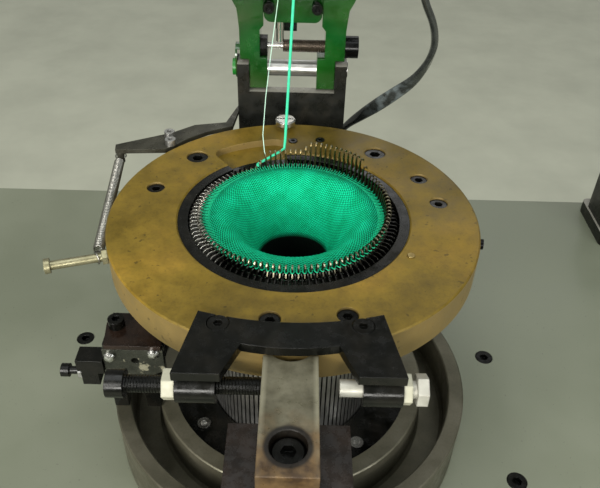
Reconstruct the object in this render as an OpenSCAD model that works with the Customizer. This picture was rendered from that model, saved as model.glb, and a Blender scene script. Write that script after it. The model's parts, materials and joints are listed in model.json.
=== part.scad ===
// Single cylinder circular knitting machine of small diameter.
// The origin lies on the axis of the needle cylinder, on the floor. +Y points to the rear of the machine.

/* [Heights] */
// Height of the top face of the sinker cap above the floor
cap_top_z = 930; // [880:5:980]
// Distance from the top face of the sinker cap down to the bed plate
bed_drop = 175; // [170:1:185]
// Distance from the top face of the sinker cap down to the top of the base housing
housing_drop = 135; // [130:1:140]

/* [Bed and stand] */
// Width of the bed plate
bed_w = 700; // [690:5:760]
// Depth of the bed plate
bed_d = 546; // [540:2:600]
// Thickness of the bed plate
bed_t = 12; // [10:1:14]
// Side of the square tube of the stand
tube_w = 40; // [35:1:45]
// Side of the foot plates
foot_w = 90; // [84:1:96]
// Thickness of the foot plates
foot_t = 8; // [6:1:12]
// Radius of the anchor holes in the foot plates
anchor_r = 7; // [5:0.5:8]
// Height of the lower rails above the floor
low_rail_z = 120; // [100:5:160]

/* [Sinker cap] */
// Outer radius of the brass sinker cap
cap_r = 105; // [103:0.5:107]
// Inner radius of the brass sinker cap
cap_bore_r = 66; // [66:0.25:68]
// Height of the sinker cap
cap_h = 20; // [19:0.5:21]
// Radius of the circle on which the cap screws lie
cap_screw_circle_r = 86; // [85.5:0.25:87]
// Angle that the cap can turn between its two stop bolts
cap_swing = 4.5; // [3:0.1:4.7]

/* [Needles] */
// Number of needles, tricks and sinkers
needle_count = 104; // [96:1:108]
// Outer radius of the needle cylinder
cylinder_r = 53.6; // [53.3:0.1:53.8]
// Inner radius of the needle cylinder
cylinder_bore_r = 46; // [44:0.5:47]
// Depth of a trick in the needle cylinder
trick_depth = 2.6; // [2.4:0.1:2.8]
// Thickness of a needle
needle_t = 0.8; // [0.6:0.05:0.9]
// Thickness of a sinker
sinker_t = 0.6; // [0.5:0.05:0.8]
// Height of the raised needle hooks above the top face of the cap
raised_hook_z = 16.5; // [15:0.5:17]

/* [Base housing] */
// Outer radius of the base housing
housing_r = 118.5; // [117.5:0.5:120]
// Thickness of the outer wall of the base housing
housing_wall = 10.2; // [9:0.2:11]
// Outer radius of the inner wall of the base housing
inner_wall_r = 90; // [89:0.5:92]
// Thickness of the inner wall of the base housing
inner_wall = 10.4; // [9.6:0.2:11]
// Thickness of the floor of the base housing
housing_floor = 12; // [10:0.5:14]

/* [Stop bar] */
// Width of the stop bar
stop_bar_w = 25; // [24:0.5:26]
// Thickness of the stop bar
stop_bar_t = 15; // [13:0.5:17]
// Width of the block that carries the stop bar
stop_block_w = 53; // [48:1:56]

/* [Hinge and head] */
// Width of the clevis over both ears
clevis_w = 75.5; // [74:0.5:78]
// Thickness of each ear and of the web of the clevis
clevis_wall = 8; // [7:0.5:9]
// Radius of the hinge shaft
hinge_r = 5.75; // [5:0.25:6]
// Distance of the hinge shaft behind the base housing
hinge_behind = 19.5; // [18.5:0.5:21]
// Height of the hinge shaft above the top face of the sinker cap
hinge_z = 26.5; // [26:0.25:27.5]

/* [Drive] */
// Module of the cylinder gear and its pinion
gear_module = 2; // [1.9:0.05:2]
// Number of teeth of the cylinder gear
gear_teeth = 60; // [60:1:62]
// Number of teeth of the pinion
pinion_teeth = 20; // [18:1:20]
// Width of the gear teeth
gear_w = 14; // [10:1:16]
// Radius of the motor body
motor_r = 45; // [40:1:48]
// Length of the motor body
motor_h = 130; // [110:5:150]

/* [Yarn supply] */
// Radius of the mast tube
mast_r = 12.5; // [11:0.5:14]
// Height of the yarn boom above the top face of the sinker cap
boom_rise = 205; // [200:1:230]
// Radius of the yarn boom
boom_r = 8; // [7:0.5:9]

/* [Hidden] */
// Radial clearance of a running fit
run_fit = 0.05;
// Clearance between faces that move past each other
gap = 0.3;
// Overlap that makes a cut run clean through
cut = 1;
// Smoothness of small and of large round shapes
small_fn = 32;
round_fn = 96;
// Heights measured down from the top face of the sinker cap
bed_z = -bed_drop;
housing_top_z = -housing_drop;
housing_floor_z = bed_z + housing_floor;
cap_bottom_z = -cap_h;

// Radii round the needle cylinder
trick_r = cylinder_r - trick_depth;
journal_r = 50;
bush_r = 57;
bush_flange_r = 62;
cam_ring_r = inner_wall_r - inner_wall - gap;
cam_ring_top_z = housing_top_z - 4;
groove_r = housing_r - housing_wall;
liner_in_r = 60.2;
sinker_bed_r = liner_in_r - 0.7;
sinker_bed_flange_r = 63.2;
sinker_bed_bottom_z = cap_bottom_z - 2;
sinker_bed_top_z = -3.8;
sinker_top_z = -0.5;
liner_bottom_z = cap_bottom_z - 3;
liner_lip_z = cap_bottom_z + 2;
liner_flange_r = cap_screw_circle_r + 8;
trick_bottom_z = cam_ring_top_z - 6;
needle_pitch = 360 / needle_count;
needle_back_r = trick_r + 0.25;
needle_length = 145;
hook_in_r = 1.05;
hook_out_r = 1.7;
hook_centre = [needle_back_r + 2.1, -hook_out_r];
// Height of the hooks all round, as azimuth and height above the top face of the cap
cam_track = [
    [-180, 2.2], [-150, 3.6], [-104, 6], [-50, 6.6], [0, 8.6], [26, 9.3], [36, 9.8],
    [42, raised_hook_z], [79, raised_hook_z], [86, 10.3], [109, 10.3], [118, 1], [140, 1.2],
    [160, 1.9], [180, 2.2]];
// Hooks that stand lower than this have their latch closed
open_latch_z = 5.9;

// Azimuths, seen from above with zero at +X
cap_m8_azimuths = [136.7, 53.2];
cap_m6_azimuths = [164.5, 27.3, 9.3, -96.7, -71.6];
cap_m3_places = [[-2.1, 81.7], [16, 83.9]];
cap_pin_place = [62.7, -36];
pocket_start = 95;
pocket_end = 130;
pocket_r = 84.5;
pocket_depth = 4.5;
pocket_corner_r = 7;
stud_azimuth = 197.4;
rim_pin_azimuth = -7;
cam_screw_azimuths = [-142, -52, 38, 128];
cam_screw_circle_r = 70;

// Yarn guide button on the rear of the cap
button_place = [-7.6, 98.5];
button_r = 6.8;
button_h = 7.5;

// Arch bracket on the front of the cap, and the stop bolts that it carries
arch_t = 5;
arch_rear_w = 87;
arch_foot_w = 101.4;
arch_foot_inner_w = 59.4;
arch_rear_y = -86;
arch_foot_y = -124;
arch_rear_sag = 6.5;
arch_front_r = cap_r + 3.5;
arch_inner_w = 44;
arch_screw_place = [33.5, -93.5];
arch_screw_z = arch_t - 3.8;
boss_r = 8;
boss_start_x = 32.6;
boss_end_x = 50.5;
boss_web_d = 7.5;
stop_axis_y = -116;
stop_axis_z = -12;
stop_bolt_d = 8;
left_nut_t = 5.8;
right_nut_t = 4.1;
stop_bar_x = 0.4;
stop_bar_end_y = -(cap_r + 1.4);
stop_bar_start_y = -168;
stop_bar_top_z = -2;
stop_bar_scallop_r = 12.3;
stop_bar_scallop_depth = 3.4;
stop_bar_bottom_z = stop_bar_top_z - stop_bar_t;
stop_screw_y = -154.2;
stop_recess_depth = 11.5;
stop_block_rear_y = -132.5;
stop_block_d = 56;
// A stop bolt that meets the bar stays clear of it by this much
stop_touch = 0.15;
left_tip_x = stop_bar_x - stop_bar_w / 2 - stop_touch;
right_tip_x = stop_bar_x + stop_bar_w / 2 + stop_touch
    + tan(cap_swing) * (abs(stop_axis_y) + stop_bolt_d / 2);
left_bolt_end_x = -73.5;
right_bolt_end_x = 56.9;

// Return spring of the cap
spring_r = 3;
spring_wire_r = 0.5;
spring_pitch = 1.6;
stud_r = 2.5;
stud_z = -9;
stud_length = 30;
spring_hook_out = 6;
spring_tip = [-114.6, 69];
spring_arm_t = 3;
spring_arm_z = -4;

// Clevis
head_x = -4;
hinge_y = housing_r + hinge_behind;
clevis_front_y = hinge_y - 14;
clevis_d = 28;
clevis_top_z = hinge_z + 7.8;
web_top_z = hinge_z - 12;
clevis_corner_r = 12;
clevis_foot_h = 12;
clevis_foot_y = clevis_front_y - 3;
clevis_foot_d = 56;
clevis_foot_w = clevis_w + 44;

// Head
lug_w = 12.4;
lug_gap = 34;
arm_front_y = hinge_y - 12;
arm_d = 22;
arm_in = 22;
arm_out = 35.6;
ear_clear_r = 16;
cheek_t = 1.3;
cheek_top_r = 17.5;
cheek_round_r = 8;
lug_top_z = hinge_z + 12;
arm_top_z = 96;
plate_bottom_z = 63;
plate_w = 38.3;
plate_t = 6;
slot_x = 15.7;
slot_screw_z = 73;
slot_half_w = 3.1;
slot_rise = 3;
cross_z = 44.8;
cross_y = hinge_y - 5;
cross_r = 4.1;
cross_tip_r = 2.2;
cross_tip_depth = 10;
cross_nut_r = 7;
cross_head_x = head_x + arm_out + 0.1;
head_tilt_back = 72;

// Lever group on the left of the base housing
lever_left_x = -114;
lever_right_x = -84;
lever_front_y = -33;
lever_d = 26;
lever_top_z = -77;
lever_top_t = 3;
lever_screw_place = [-107.3, -19.9];
side_arm_left_x = -130.5;
side_arm_z = -86;

// Yarn mast and boom
mast_foot_w = 56;
mast_foot_d = 64;
mast_foot_t = 12;
mast_socket_w = 52;
mast_socket_d = 44;
mast_socket_h = 52;
mast_seat = 4;
mast_x = (bed_w - mast_foot_w) / 2;
mast_y = bed_d / 2 - 42;
boom_end_x = -26;
boom_end_y = 74.2;
eyelet_h = 5;
eyelet_z = boom_rise - 17;
boom_angle = atan2(mast_y - boom_end_y, mast_x - boom_end_x);
boom_length = norm([mast_x - boom_end_x, mast_y - boom_end_y]);
box_along = 285;

// Motor and pinion
gear_distance = gear_module * (gear_teeth + pinion_teeth) / 2 + 0.1;
gear_z = bed_z - bed_t - 12 - gear_w;
motor_shaft_r = 7;
motor_plate_z = gear_z - 30;
motor_plate_t = 8;
bracket_flange_x = 164;

// Route of the main yarn, from the eyelet on the boom down into the hook of a needle
main_yarn_route = [
    [2.4, 87, 192], [2.4, 87, 187.5], [0.8, 82.5, 165], [-1, 77, 130], [-3.2, 70, 97],
    [-4.4, 65.2, 68], [-5.4, 61.6, 45], [-6.2, 58.9, 27], [-6.7, 57.4, 15], [-7.2, 56.8, 9],
    [-9.8, 56, 7], [-13.6, 54.8, 5.2], [-17.3, 53.5, 3.4], [-20.5, 52.2, 2], [-22.3, 51.4, 1.3],
    [-23.3, 50.5, 1], [-23.7, 49.3, 0.95], [-23.5, 48.3, 0.9]];
main_yarn_r = 0.7;
// Route of the fine yarn, which lies on the hook of a needle
fine_yarn_route = [
    [-9, 81.9, 192], [-9, 81.9, 187.5], [-10.2, 79.4, 140], [-12.2, 76, 94], [-15.7, 70, 67.6],
    [-19, 64.5, 40], [-20.7, 58.5, 17], [-19.4, 51.4, 9.3], [-18.9, 49.9, 8.85]];
fine_yarn_r = 0.3;
// Route of the sensor cable, from the box on the boom down to the gland behind the clevis
cable_route = [
    [62, 114, 182.8], [62, 114.5, 168], [63, 117, 154], [65, 121, 138], [69, 125, 120],
    [75, 128, 98], [82, 131, 78], [89, 134, 64], [93, 138, 52], [94, 142, 40],
    [91, 147, 26], [84, 152, 12], [73, 156, 0], [61, 160, -12], [50, 166, -24],
    [40, 173, -37], [33, 176, -50], [30, 172.5, -63], [29.75, 166, -71], [29.75, 159.3, -73]];
cable_r = 3.3;
cable_end_z = -73;

// Helpers

function polar(r, a) = [r * cos(a), r * sin(a)];

function arc_points(centre, r, a0, a1, n) =
    [for (i = [0:n]) centre + polar(r, a0 + (a1 - a0) * i / n)];

// Height that the cams give the top of the hook at an azimuth from 0 to 360
function hook_height(a) = lookup(a > 180 ? a - 360 : a, cam_track);

module at_cap_top() {
    translate([0, 0, cap_top_z]) children();
}

module along_x() {
    rotate([0, 90, 0]) children();
}

module along_y() {
    rotate([-90, 0, 0]) children();
}

module tube(r_out, r_in, h) {
    difference() {
        cylinder(r = r_out, h = h, $fn = round_fn);
        translate([0, 0, -cut]) cylinder(r = r_in, h = h + 2 * cut, $fn = round_fn);
    }
}

module rounded_plate(w, d, t, r) {
    for (x = [-1, 1])
        for (y = [-1, 1])
            translate([x * (w / 2 - r), y * (d / 2 - r), 0]) cylinder(r = r, h = t, $fn = small_fn);
    translate([-w / 2 + r, -d / 2, 0]) cube([w - 2 * r, d, t]);
    translate([-w / 2, -d / 2 + r, 0]) cube([w, d - 2 * r, t]);
}

function screw_head_r(d) = (1.5 * d + 1) / 2;

// Socket head screw: the underside of the head lies at zero and the shank points down
module socket_screw(d, shank) {
    difference() {
        union() {
            cylinder(r = screw_head_r(d), h = d, $fn = small_fn);
            translate([0, 0, -shank]) cylinder(r = d / 2, h = shank + cut / 2, $fn = small_fn);
        }
        translate([0, 0, d / 2]) cylinder(r = 0.43 * d, h = d, $fn = 6);
    }
}

// Seat that a socket head screw sinks into, cut from the underside of the head upwards
module screw_seat(d, shank, depth) {
    cylinder(r = screw_head_r(d) + 0.4, h = depth + cut, $fn = small_fn);
    translate([0, 0, -shank - cut]) cylinder(r = d / 2 + run_fit, h = shank + 2 * cut, $fn = small_fn);
}

module hex_nut(d, t) {
    difference() {
        cylinder(r = 0.93 * d, h = t, $fn = 6);
        translate([0, 0, -cut]) cylinder(r = d / 2 + run_fit, h = t + 2 * cut, $fn = small_fn);
    }
}

// Round cord swept along a list of points
module cord(route, r, sides) {
    n = len(route);
    rings = [for (i = [0:n - 1])
        let (a = route[max(i - 1, 0)], b = route[min(i + 1, n - 1)],
             t = (b - a) / norm(b - a),
             side = cross(t, [0, 1, 0]) / norm(cross(t, [0, 1, 0])),
             up = cross(side, t))
        [for (k = [0:sides - 1])
            route[i] + r * (side * cos(360 * k / sides) + up * sin(360 * k / sides))]];
    points = [for (ring = rings) for (p = ring) p];
    walls = [for (i = [0:n - 2]) for (k = [0:sides - 1])
        [i * sides + k, i * sides + (k + 1) % sides,
         (i + 1) * sides + (k + 1) % sides, (i + 1) * sides + k]];
    first_cap = [for (k = [0:sides - 1]) sides - 1 - k];
    last_cap = [for (k = [0:sides - 1]) (n - 1) * sides + k];
    polyhedron(points = points, faces = concat(walls, [first_cap, last_cap]), convexity = 6);
}

// Outline of a spur gear whose flanks are straight lines through tip, pitch and root
function gear_outline(teeth, m, turn) =
    let (r = m * teeth / 2, tip = r + 0.95 * m, root = r - 1.2 * m, pitch = 360 / teeth)
    [for (i = [0:teeth - 1])
        let (a = turn + i * pitch)
        each [
            polar(root, a - 0.36 * pitch), polar(r, a - 0.235 * pitch), polar(tip, a - 0.12 * pitch),
            polar(tip, a + 0.12 * pitch), polar(r, a + 0.235 * pitch), polar(root, a + 0.36 * pitch)]];

// Bed and stand

bed_screw_places = [[153, 53], [153, -57], [-165.5, 63.6]];
// The heads are sunk flush into the bed
bed_screw_sink = 8;

module bed_plate() {
    color([0.50, 0.53, 0.47])
    at_cap_top() translate([0, 0, bed_z - bed_t])
    difference() {
        rounded_plate(bed_w, bed_d, bed_t, 8);
        translate([0, 0, -cut]) cylinder(r = bush_r, h = bed_t + 2 * cut, $fn = round_fn);
        for (p = bed_screw_places)
            translate([p[0], p[1], bed_t - bed_screw_sink]) screw_seat(8, bed_t, bed_screw_sink);
    }
}

module bed_screws() {
    color([0.12, 0.12, 0.12])
    at_cap_top()
    for (p = bed_screw_places)
        translate([p[0], p[1], bed_z - bed_screw_sink]) socket_screw(8, bed_t);
}

leg_x = bed_w / 2 - tube_w;
leg_y = bed_d / 2 - tube_w;
stand_h = cap_top_z + bed_z - bed_t;

module stand_legs() {
    color([0.24, 0.27, 0.25])
    for (x = [-1, 1])
        for (y = [-1, 1])
            difference() {
                union() {
                    translate([x * leg_x - tube_w / 2, y * leg_y - tube_w / 2, 0])
                        cube([tube_w, tube_w, stand_h]);
                    translate([x * leg_x, y * leg_y, 0]) rounded_plate(foot_w, foot_w, foot_t, 6);
                }
                translate([x * anchor_x, y * anchor_y, -cut])
                    cylinder(r = anchor_r, h = foot_t + 2 * cut, $fn = small_fn);
            }
}

anchor_x = leg_x + (foot_w + tube_w) / 4;
anchor_y = leg_y - (foot_w + tube_w) / 4;

module stand_rails() {
    long_x = 2 * leg_x - tube_w;
    long_y = 2 * leg_y - tube_w;
    color([0.24, 0.27, 0.25])
    for (z = [low_rail_z, stand_h - tube_w]) {
        for (y = [-1, 1])
            translate([-long_x / 2, y * leg_y - tube_w / 2, z]) cube([long_x, tube_w, tube_w]);
        for (x = [-1, 1])
            translate([x * leg_x - tube_w / 2, -long_y / 2, z]) cube([tube_w, long_y, tube_w]);
    }
}

// Base housing, cam ring and bearing

module base_housing() {
    edge = 0.8;
    color([0.36, 0.34, 0.29])
    at_cap_top()
    rotate_extrude($fn = round_fn)
        polygon([
            [bush_flange_r + run_fit, bed_z], [housing_r, bed_z],
            [housing_r, housing_top_z - edge], [housing_r - edge, housing_top_z],
            [groove_r + edge, housing_top_z], [groove_r, housing_top_z - edge],
            [groove_r, housing_floor_z + 2], [groove_r - 2, housing_floor_z],
            [inner_wall_r + 2, housing_floor_z], [inner_wall_r, housing_floor_z + 2],
            [inner_wall_r, housing_top_z - edge], [inner_wall_r - edge, housing_top_z],
            [inner_wall_r - inner_wall, housing_top_z],
            [inner_wall_r - inner_wall, housing_floor_z], [bush_flange_r + run_fit, housing_floor_z]]);
}

module cam_ring() {
    color([0.11, 0.11, 0.11])
    at_cap_top()
    difference() {
        translate([0, 0, housing_floor_z]) tube(cam_ring_r, cylinder_r + 0.7, cam_ring_top_z - housing_floor_z);
        for (a = cam_screw_azimuths)
            translate(concat(polar(cam_screw_circle_r, a), cam_ring_top_z - 4)) screw_seat(5, 12, 5);
    }
}

module cam_ring_screws() {
    color([0.55, 0.54, 0.50])
    at_cap_top()
    for (a = cam_screw_azimuths)
        translate(concat(polar(cam_screw_circle_r, a), cam_ring_top_z - 4)) socket_screw(5, 12);
}

module cylinder_bearing() {
    color([0.62, 0.50, 0.26])
    at_cap_top()
    difference() {
        union() {
            translate([0, 0, bed_z - bed_t - 4]) cylinder(r = bush_r - run_fit, h = bed_t + 5, $fn = round_fn);
            translate([0, 0, bed_z]) cylinder(r = bush_flange_r, h = housing_floor, $fn = round_fn);
        }
        translate([0, 0, bed_z - bed_t - 4 - cut])
            cylinder(r = journal_r + run_fit, h = bed_t + housing_floor + 4 + 2 * cut, $fn = round_fn);
    }
}

// Needle cylinder and what turns with it

module trick_outline() {
    w = needle_t + 0.25;
    rib_r = cylinder_r - 0.2;
    half = asin(w / 2 / rib_r);
    inner_half = asin(w / 2 / trick_r);
    polygon([for (i = [0:needle_count - 1])
        let (a = i * needle_pitch)
        each [
            polar(rib_r, a - needle_pitch / 2), polar(rib_r, a - half),
            polar(trick_r, a - inner_half), polar(trick_r, a + inner_half),
            polar(rib_r, a + half)]]);
}

module needle_cylinder() {
    color([0.45, 0.45, 0.43])
    at_cap_top()
    difference() {
        union() {
            translate([0, 0, trick_bottom_z]) linear_extrude(-4 - trick_bottom_z) trick_outline();
            translate([0, 0, housing_floor_z + gap])
                cylinder(r = cylinder_r, h = trick_bottom_z - housing_floor_z - gap + 0.5, $fn = round_fn);
            translate([0, 0, gear_z - 4]) cylinder(r = journal_r, h = housing_floor_z - gear_z + 5, $fn = round_fn);
        }
        translate([0, 0, gear_z - 4 - cut])
            cylinder(r = cylinder_bore_r, h = -gear_z + 4 + 2 * cut, $fn = round_fn);
    }
}

// Side view of a latch needle: x is radial, y is height above the top of the hook.
// The latch hangs down below the hook or shuts it.
module needle_outline(open) {
    back = needle_back_r;
    front = back + 1.3;
    hook_inside = arc_points(hook_centre, hook_in_r, 180, -20, 4);
    hook_outside = arc_points(hook_centre, hook_out_r, -20, 180, 5);
    stem = [[back, -needle_length], [front, -needle_length]];
    if (open)
        polygon(concat(
            stem, [[front, -9.9], [back + 3, -9.3], [back + 2.8, -8.5], [front, -5.6]],
            hook_inside, hook_outside, [[back, -5]]));
    else
        difference() {
            polygon(concat(stem, [[front, -5.6], [front + 1.5, -4]], hook_outside, [[back, -5]]));
            polygon(concat(hook_inside, [[front + 0.9, -3.7], [front, -4.6]]));
        }
}

module needles() {
    color([0.72, 0.72, 0.70])
    at_cap_top()
    for (i = [0:needle_count - 1]) {
        a = i * needle_pitch;
        z = hook_height(a);
        rotate([0, 0, a]) translate([0, needle_t / 2, z])
            rotate([90, 0, 0]) linear_extrude(needle_t) needle_outline(z > open_latch_z);
    }
}

module sinker_bed() {
    color([0.16, 0.16, 0.16])
    at_cap_top()
    rotate_extrude($fn = round_fn)
        polygon([
            [cylinder_r + run_fit, sinker_bed_bottom_z], [sinker_bed_flange_r, sinker_bed_bottom_z],
            [sinker_bed_flange_r, liner_lip_z - gap], [sinker_bed_r, liner_lip_z - gap],
            [sinker_bed_r, sinker_bed_top_z], [cylinder_r + run_fit, sinker_bed_top_z]]);
}

module sinkers() {
    top = sinker_top_z - sinker_bed_top_z;
    inner_r = trick_r + 1.2;
    color([0.70, 0.70, 0.68])
    at_cap_top()
    for (i = [0:needle_count - 1])
        rotate([0, 0, (i + 0.5) * needle_pitch])
        translate([0, sinker_t / 2, sinker_bed_top_z])
        rotate([90, 0, 0])
        linear_extrude(sinker_t)
            polygon([
                [inner_r + 2, 0], [sinker_bed_r, 0], [sinker_bed_r, top * 0.6],
                [sinker_bed_r - 1.6, top], [inner_r, top], [inner_r, top * 0.72],
                [inner_r + 1.4, top * 0.6], [inner_r + 1.4, top * 0.3]]);
}

// Radius and height of the middle of the cloth, from the needles down to the open hem
fabric_profile = [
    [50.5, -1.3], [47, 0.2], [43.5, 0.6], [40, -0.4], [37, -2.6], [34, -6], [31, -10.6],
    [28, -15.8], [25, -21.2], [22.4, -26.5], [20.8, -31], [20.2, -36], [20, -44], [20, -380]];
fabric_t = 1.4;

module fabric_tube() {
    n = len(fabric_profile);
    normals = [for (i = [0:n - 1])
        let (d = fabric_profile[min(i + 1, n - 1)] - fabric_profile[max(i - 1, 0)])
        [d[1], -d[0]] / norm(d)];
    side_a = [for (i = [0:n - 1]) fabric_profile[i] + normals[i] * fabric_t / 2];
    side_b = [for (i = [n - 1:-1:0]) fabric_profile[i] - normals[i] * fabric_t / 2];
    color([0.05, 0.72, 0.45])
    at_cap_top()
    rotate_extrude($fn = 64) polygon(concat(side_a, side_b));
}

module cylinder_gear() {
    hub_r = journal_r + 8;
    color([0.40, 0.40, 0.38])
    at_cap_top() translate([0, 0, gear_z])
    difference() {
        union() {
            linear_extrude(gear_w) polygon(gear_outline(gear_teeth, gear_module, 0));
            cylinder(r = hub_r, h = gear_w + 12 - 4 - gap, $fn = round_fn);
        }
        translate([0, 0, -cut]) cylinder(r = journal_r + run_fit, h = gear_w + 20, $fn = round_fn);
    }
}

module drive_pinion() {
    turn = 180 - 180 / pinion_teeth;
    color([0.40, 0.40, 0.38])
    at_cap_top() translate([gear_distance, 0, gear_z])
    difference() {
        union() {
            linear_extrude(gear_w) polygon(gear_outline(pinion_teeth, gear_module, turn));
            translate([0, 0, -8]) cylinder(r = motor_shaft_r + 5, h = 9, $fn = small_fn);
        }
        translate([0, 0, -8 - cut]) cylinder(r = motor_shaft_r + run_fit, h = gear_w + 10 + cut, $fn = small_fn);
    }
}

module motor_shaft() {
    color([0.70, 0.70, 0.68])
    at_cap_top() translate([gear_distance, 0, motor_plate_z - 20])
        cylinder(r = motor_shaft_r, h = gear_z + gear_w - motor_plate_z + 22, $fn = small_fn);
}

module drive_motor() {
    flange_r = motor_r + 8;
    flange_h = 10;
    end_bell_h = 12;
    fin_d = 5;
    fin_t = 3;
    terminal_d = 24;
    terminal_w = 48;
    terminal_h = 60;
    terminal_z = -90;
    color([0.30, 0.32, 0.32])
    at_cap_top() translate([gear_distance, 0, motor_plate_z])
    difference() {
        union() {
            translate([0, 0, -flange_h]) cylinder(r = flange_r, h = flange_h, $fn = round_fn);
            translate([0, 0, -flange_h - motor_h]) cylinder(r = motor_r, h = motor_h + cut, $fn = round_fn);
            translate([0, 0, -flange_h - motor_h - end_bell_h])
                cylinder(r = motor_r - 6, h = end_bell_h + cut, $fn = round_fn);
            for (a = [0:20:340])
                if (a > 30 && a < 330)
                    rotate([0, 0, a]) translate([motor_r - cut, -fin_t / 2, fin_d - flange_h - motor_h])
                        cube([fin_d, fin_t, motor_h - fin_d - flange_h]);
            translate([motor_r - 6, -terminal_w / 2, terminal_z]) cube([terminal_d, terminal_w, terminal_h]);
        }
        translate([0, 0, -30]) cylinder(r = motor_shaft_r + 1, h = 31, $fn = small_fn);
    }
}

module motor_bracket() {
    top_z = bed_z - bed_t;
    plate_end_x = bracket_flange_x - 14;
    plate_start_x = gear_distance - motor_r - 10;
    flange_t = 8;
    flange_lap = 26;
    flange_past = 4;
    rib_t = 6;
    rib_reach = 60;
    rib_low_h = 8;
    rib_top_reach = 20;
    rib_h = top_z - motor_plate_z;
    spigot_r = 18;
    half_w = motor_r + 20;
    color([0.24, 0.27, 0.25])
    at_cap_top()
    difference() {
        union() {
            translate([plate_start_x, -half_w, motor_plate_z])
                cube([plate_end_x - plate_start_x, 2 * half_w, motor_plate_t]);
            translate([plate_end_x - motor_plate_t, -half_w, motor_plate_z])
                cube([motor_plate_t, 2 * half_w, top_z - motor_plate_z]);
            translate([plate_end_x - flange_lap, -half_w, top_z - flange_t])
                cube([bracket_flange_x - plate_end_x + flange_lap + flange_past, 2 * half_w, flange_t]);
            for (y = [-half_w, half_w - rib_t])
                translate([plate_end_x, y, motor_plate_z])
                    rotate([90, 0, 180]) linear_extrude(rib_t)
                        polygon([[0, 0], [rib_reach, 0], [rib_reach, rib_low_h], [rib_top_reach, rib_h], [0, rib_h]]);
        }
        translate([gear_distance, 0, motor_plate_z - cut])
            cylinder(r = spigot_r, h = motor_plate_t + 2 * cut, $fn = round_fn);
        for (p = bed_screw_places)
            if (p[0] > 0)
                translate([p[0], p[1], top_z - flange_t - cut]) cylinder(r = 4 + run_fit, h = flange_t + 2 * cut, $fn = small_fn);
    }
}

// Sinker cap and what turns with it

// The shallow pocket beside the yarn button: a ring sector with two round corners, open to the bore
module pocket_cut() {
    corner_c = pocket_r - pocket_corner_r;
    corner_a = asin(pocket_corner_r / corner_c);
    inner_r = liner_in_r - 2;
    translate([0, 0, -pocket_depth])
    linear_extrude(pocket_depth + cut)
    polygon(concat(
        [polar(inner_r, pocket_start)],
        arc_points(polar(corner_c, pocket_start + corner_a), pocket_corner_r,
            pocket_start - 90, pocket_start + corner_a, 6),
        arc_points([0, 0], pocket_r, pocket_start + corner_a + 2, pocket_end - corner_a - 2, 12),
        arc_points(polar(corner_c, pocket_end - corner_a), pocket_corner_r,
            pocket_end - corner_a, pocket_end + 90, 6),
        [polar(inner_r, pocket_end)]));
}

module sinker_cap() {
    edge = 0.8;
    color([0.52, 0.42, 0.18])
    at_cap_top()
    difference() {
        rotate_extrude($fn = round_fn)
            polygon([
                [cap_bore_r, cap_bottom_z], [cap_r - edge, cap_bottom_z], [cap_r, cap_bottom_z + edge],
                [cap_r, -edge], [cap_r - edge, 0], [cap_bore_r + edge, 0], [cap_bore_r, -edge]]);
        for (a = cap_m8_azimuths)
            translate(concat(polar(cap_screw_circle_r, a), -9)) screw_seat(8, 12, 9);
        for (a = cap_m6_azimuths)
            translate(concat(polar(cap_screw_circle_r, a), -7)) screw_seat(6, 14, 7);
        for (p = cap_m3_places)
            translate([p[0], p[1], -2.5]) screw_seat(3, 8, 3);
        for (x = [-1, 1])
            translate([x * arch_screw_place[0], arch_screw_place[1], -12])
                cylinder(r = 3 + run_fit, h = 13, $fn = small_fn);
        translate([cap_pin_place[0], cap_pin_place[1], -8]) cylinder(r = 2 + run_fit, h = 9, $fn = small_fn);
        translate([button_place[0], button_place[1], -8]) cylinder(r = 2.5 + run_fit, h = 9, $fn = small_fn);
        pocket_cut();
        rotate([0, 0, stud_azimuth]) translate([cap_r - 10, 0, stud_z])
            along_x() cylinder(r = stud_r + run_fit, h = 12, $fn = small_fn);
        rotate([0, 0, rim_pin_azimuth]) translate([cap_r - 10, 0, stud_z])
            along_x() cylinder(r = 3 + run_fit, h = 12, $fn = small_fn);
    }
}

module sinker_cam_liner() {
    color([0.10, 0.10, 0.10])
    at_cap_top()
    difference() {
        rotate_extrude($fn = round_fn)
            polygon([
                [liner_in_r, -1], [cap_bore_r - run_fit, -1], [cap_bore_r - run_fit, cap_bottom_z],
                [liner_flange_r, cap_bottom_z], [liner_flange_r, liner_bottom_z],
                [sinker_bed_flange_r + gap, liner_bottom_z], [sinker_bed_flange_r + gap, liner_lip_z],
                [liner_in_r, liner_lip_z]]);
        for (a = cap_m8_azimuths)
            translate(concat(polar(cap_screw_circle_r, a), liner_bottom_z - cut))
                cylinder(r = 4 + run_fit, h = 5, $fn = small_fn);
        for (a = cap_m6_azimuths)
            translate(concat(polar(cap_screw_circle_r, a), liner_bottom_z - cut))
                cylinder(r = 3 + run_fit, h = 5, $fn = small_fn);
        pocket_cut();
    }
}

module cap_screws() {
    color([0.13, 0.13, 0.14])
    at_cap_top() {
        for (a = cap_m8_azimuths)
            translate(concat(polar(cap_screw_circle_r, a), -9)) socket_screw(8, -9 - liner_bottom_z);
        for (a = cap_m6_azimuths)
            translate(concat(polar(cap_screw_circle_r, a), -7)) socket_screw(6, -7 - liner_bottom_z);
        for (p = cap_m3_places)
            translate([p[0], p[1], -2.5]) socket_screw(3, 8);
    }
}

module cap_pins() {
    color([0.55, 0.48, 0.28])
    at_cap_top() {
        translate([cap_pin_place[0], cap_pin_place[1], -8]) cylinder(r = 2, h = 8.6, $fn = small_fn);
        rotate([0, 0, rim_pin_azimuth]) translate([cap_r - 10, 0, stud_z])
            along_x() cylinder(r = 3, h = 13, $fn = small_fn);
    }
}

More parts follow.
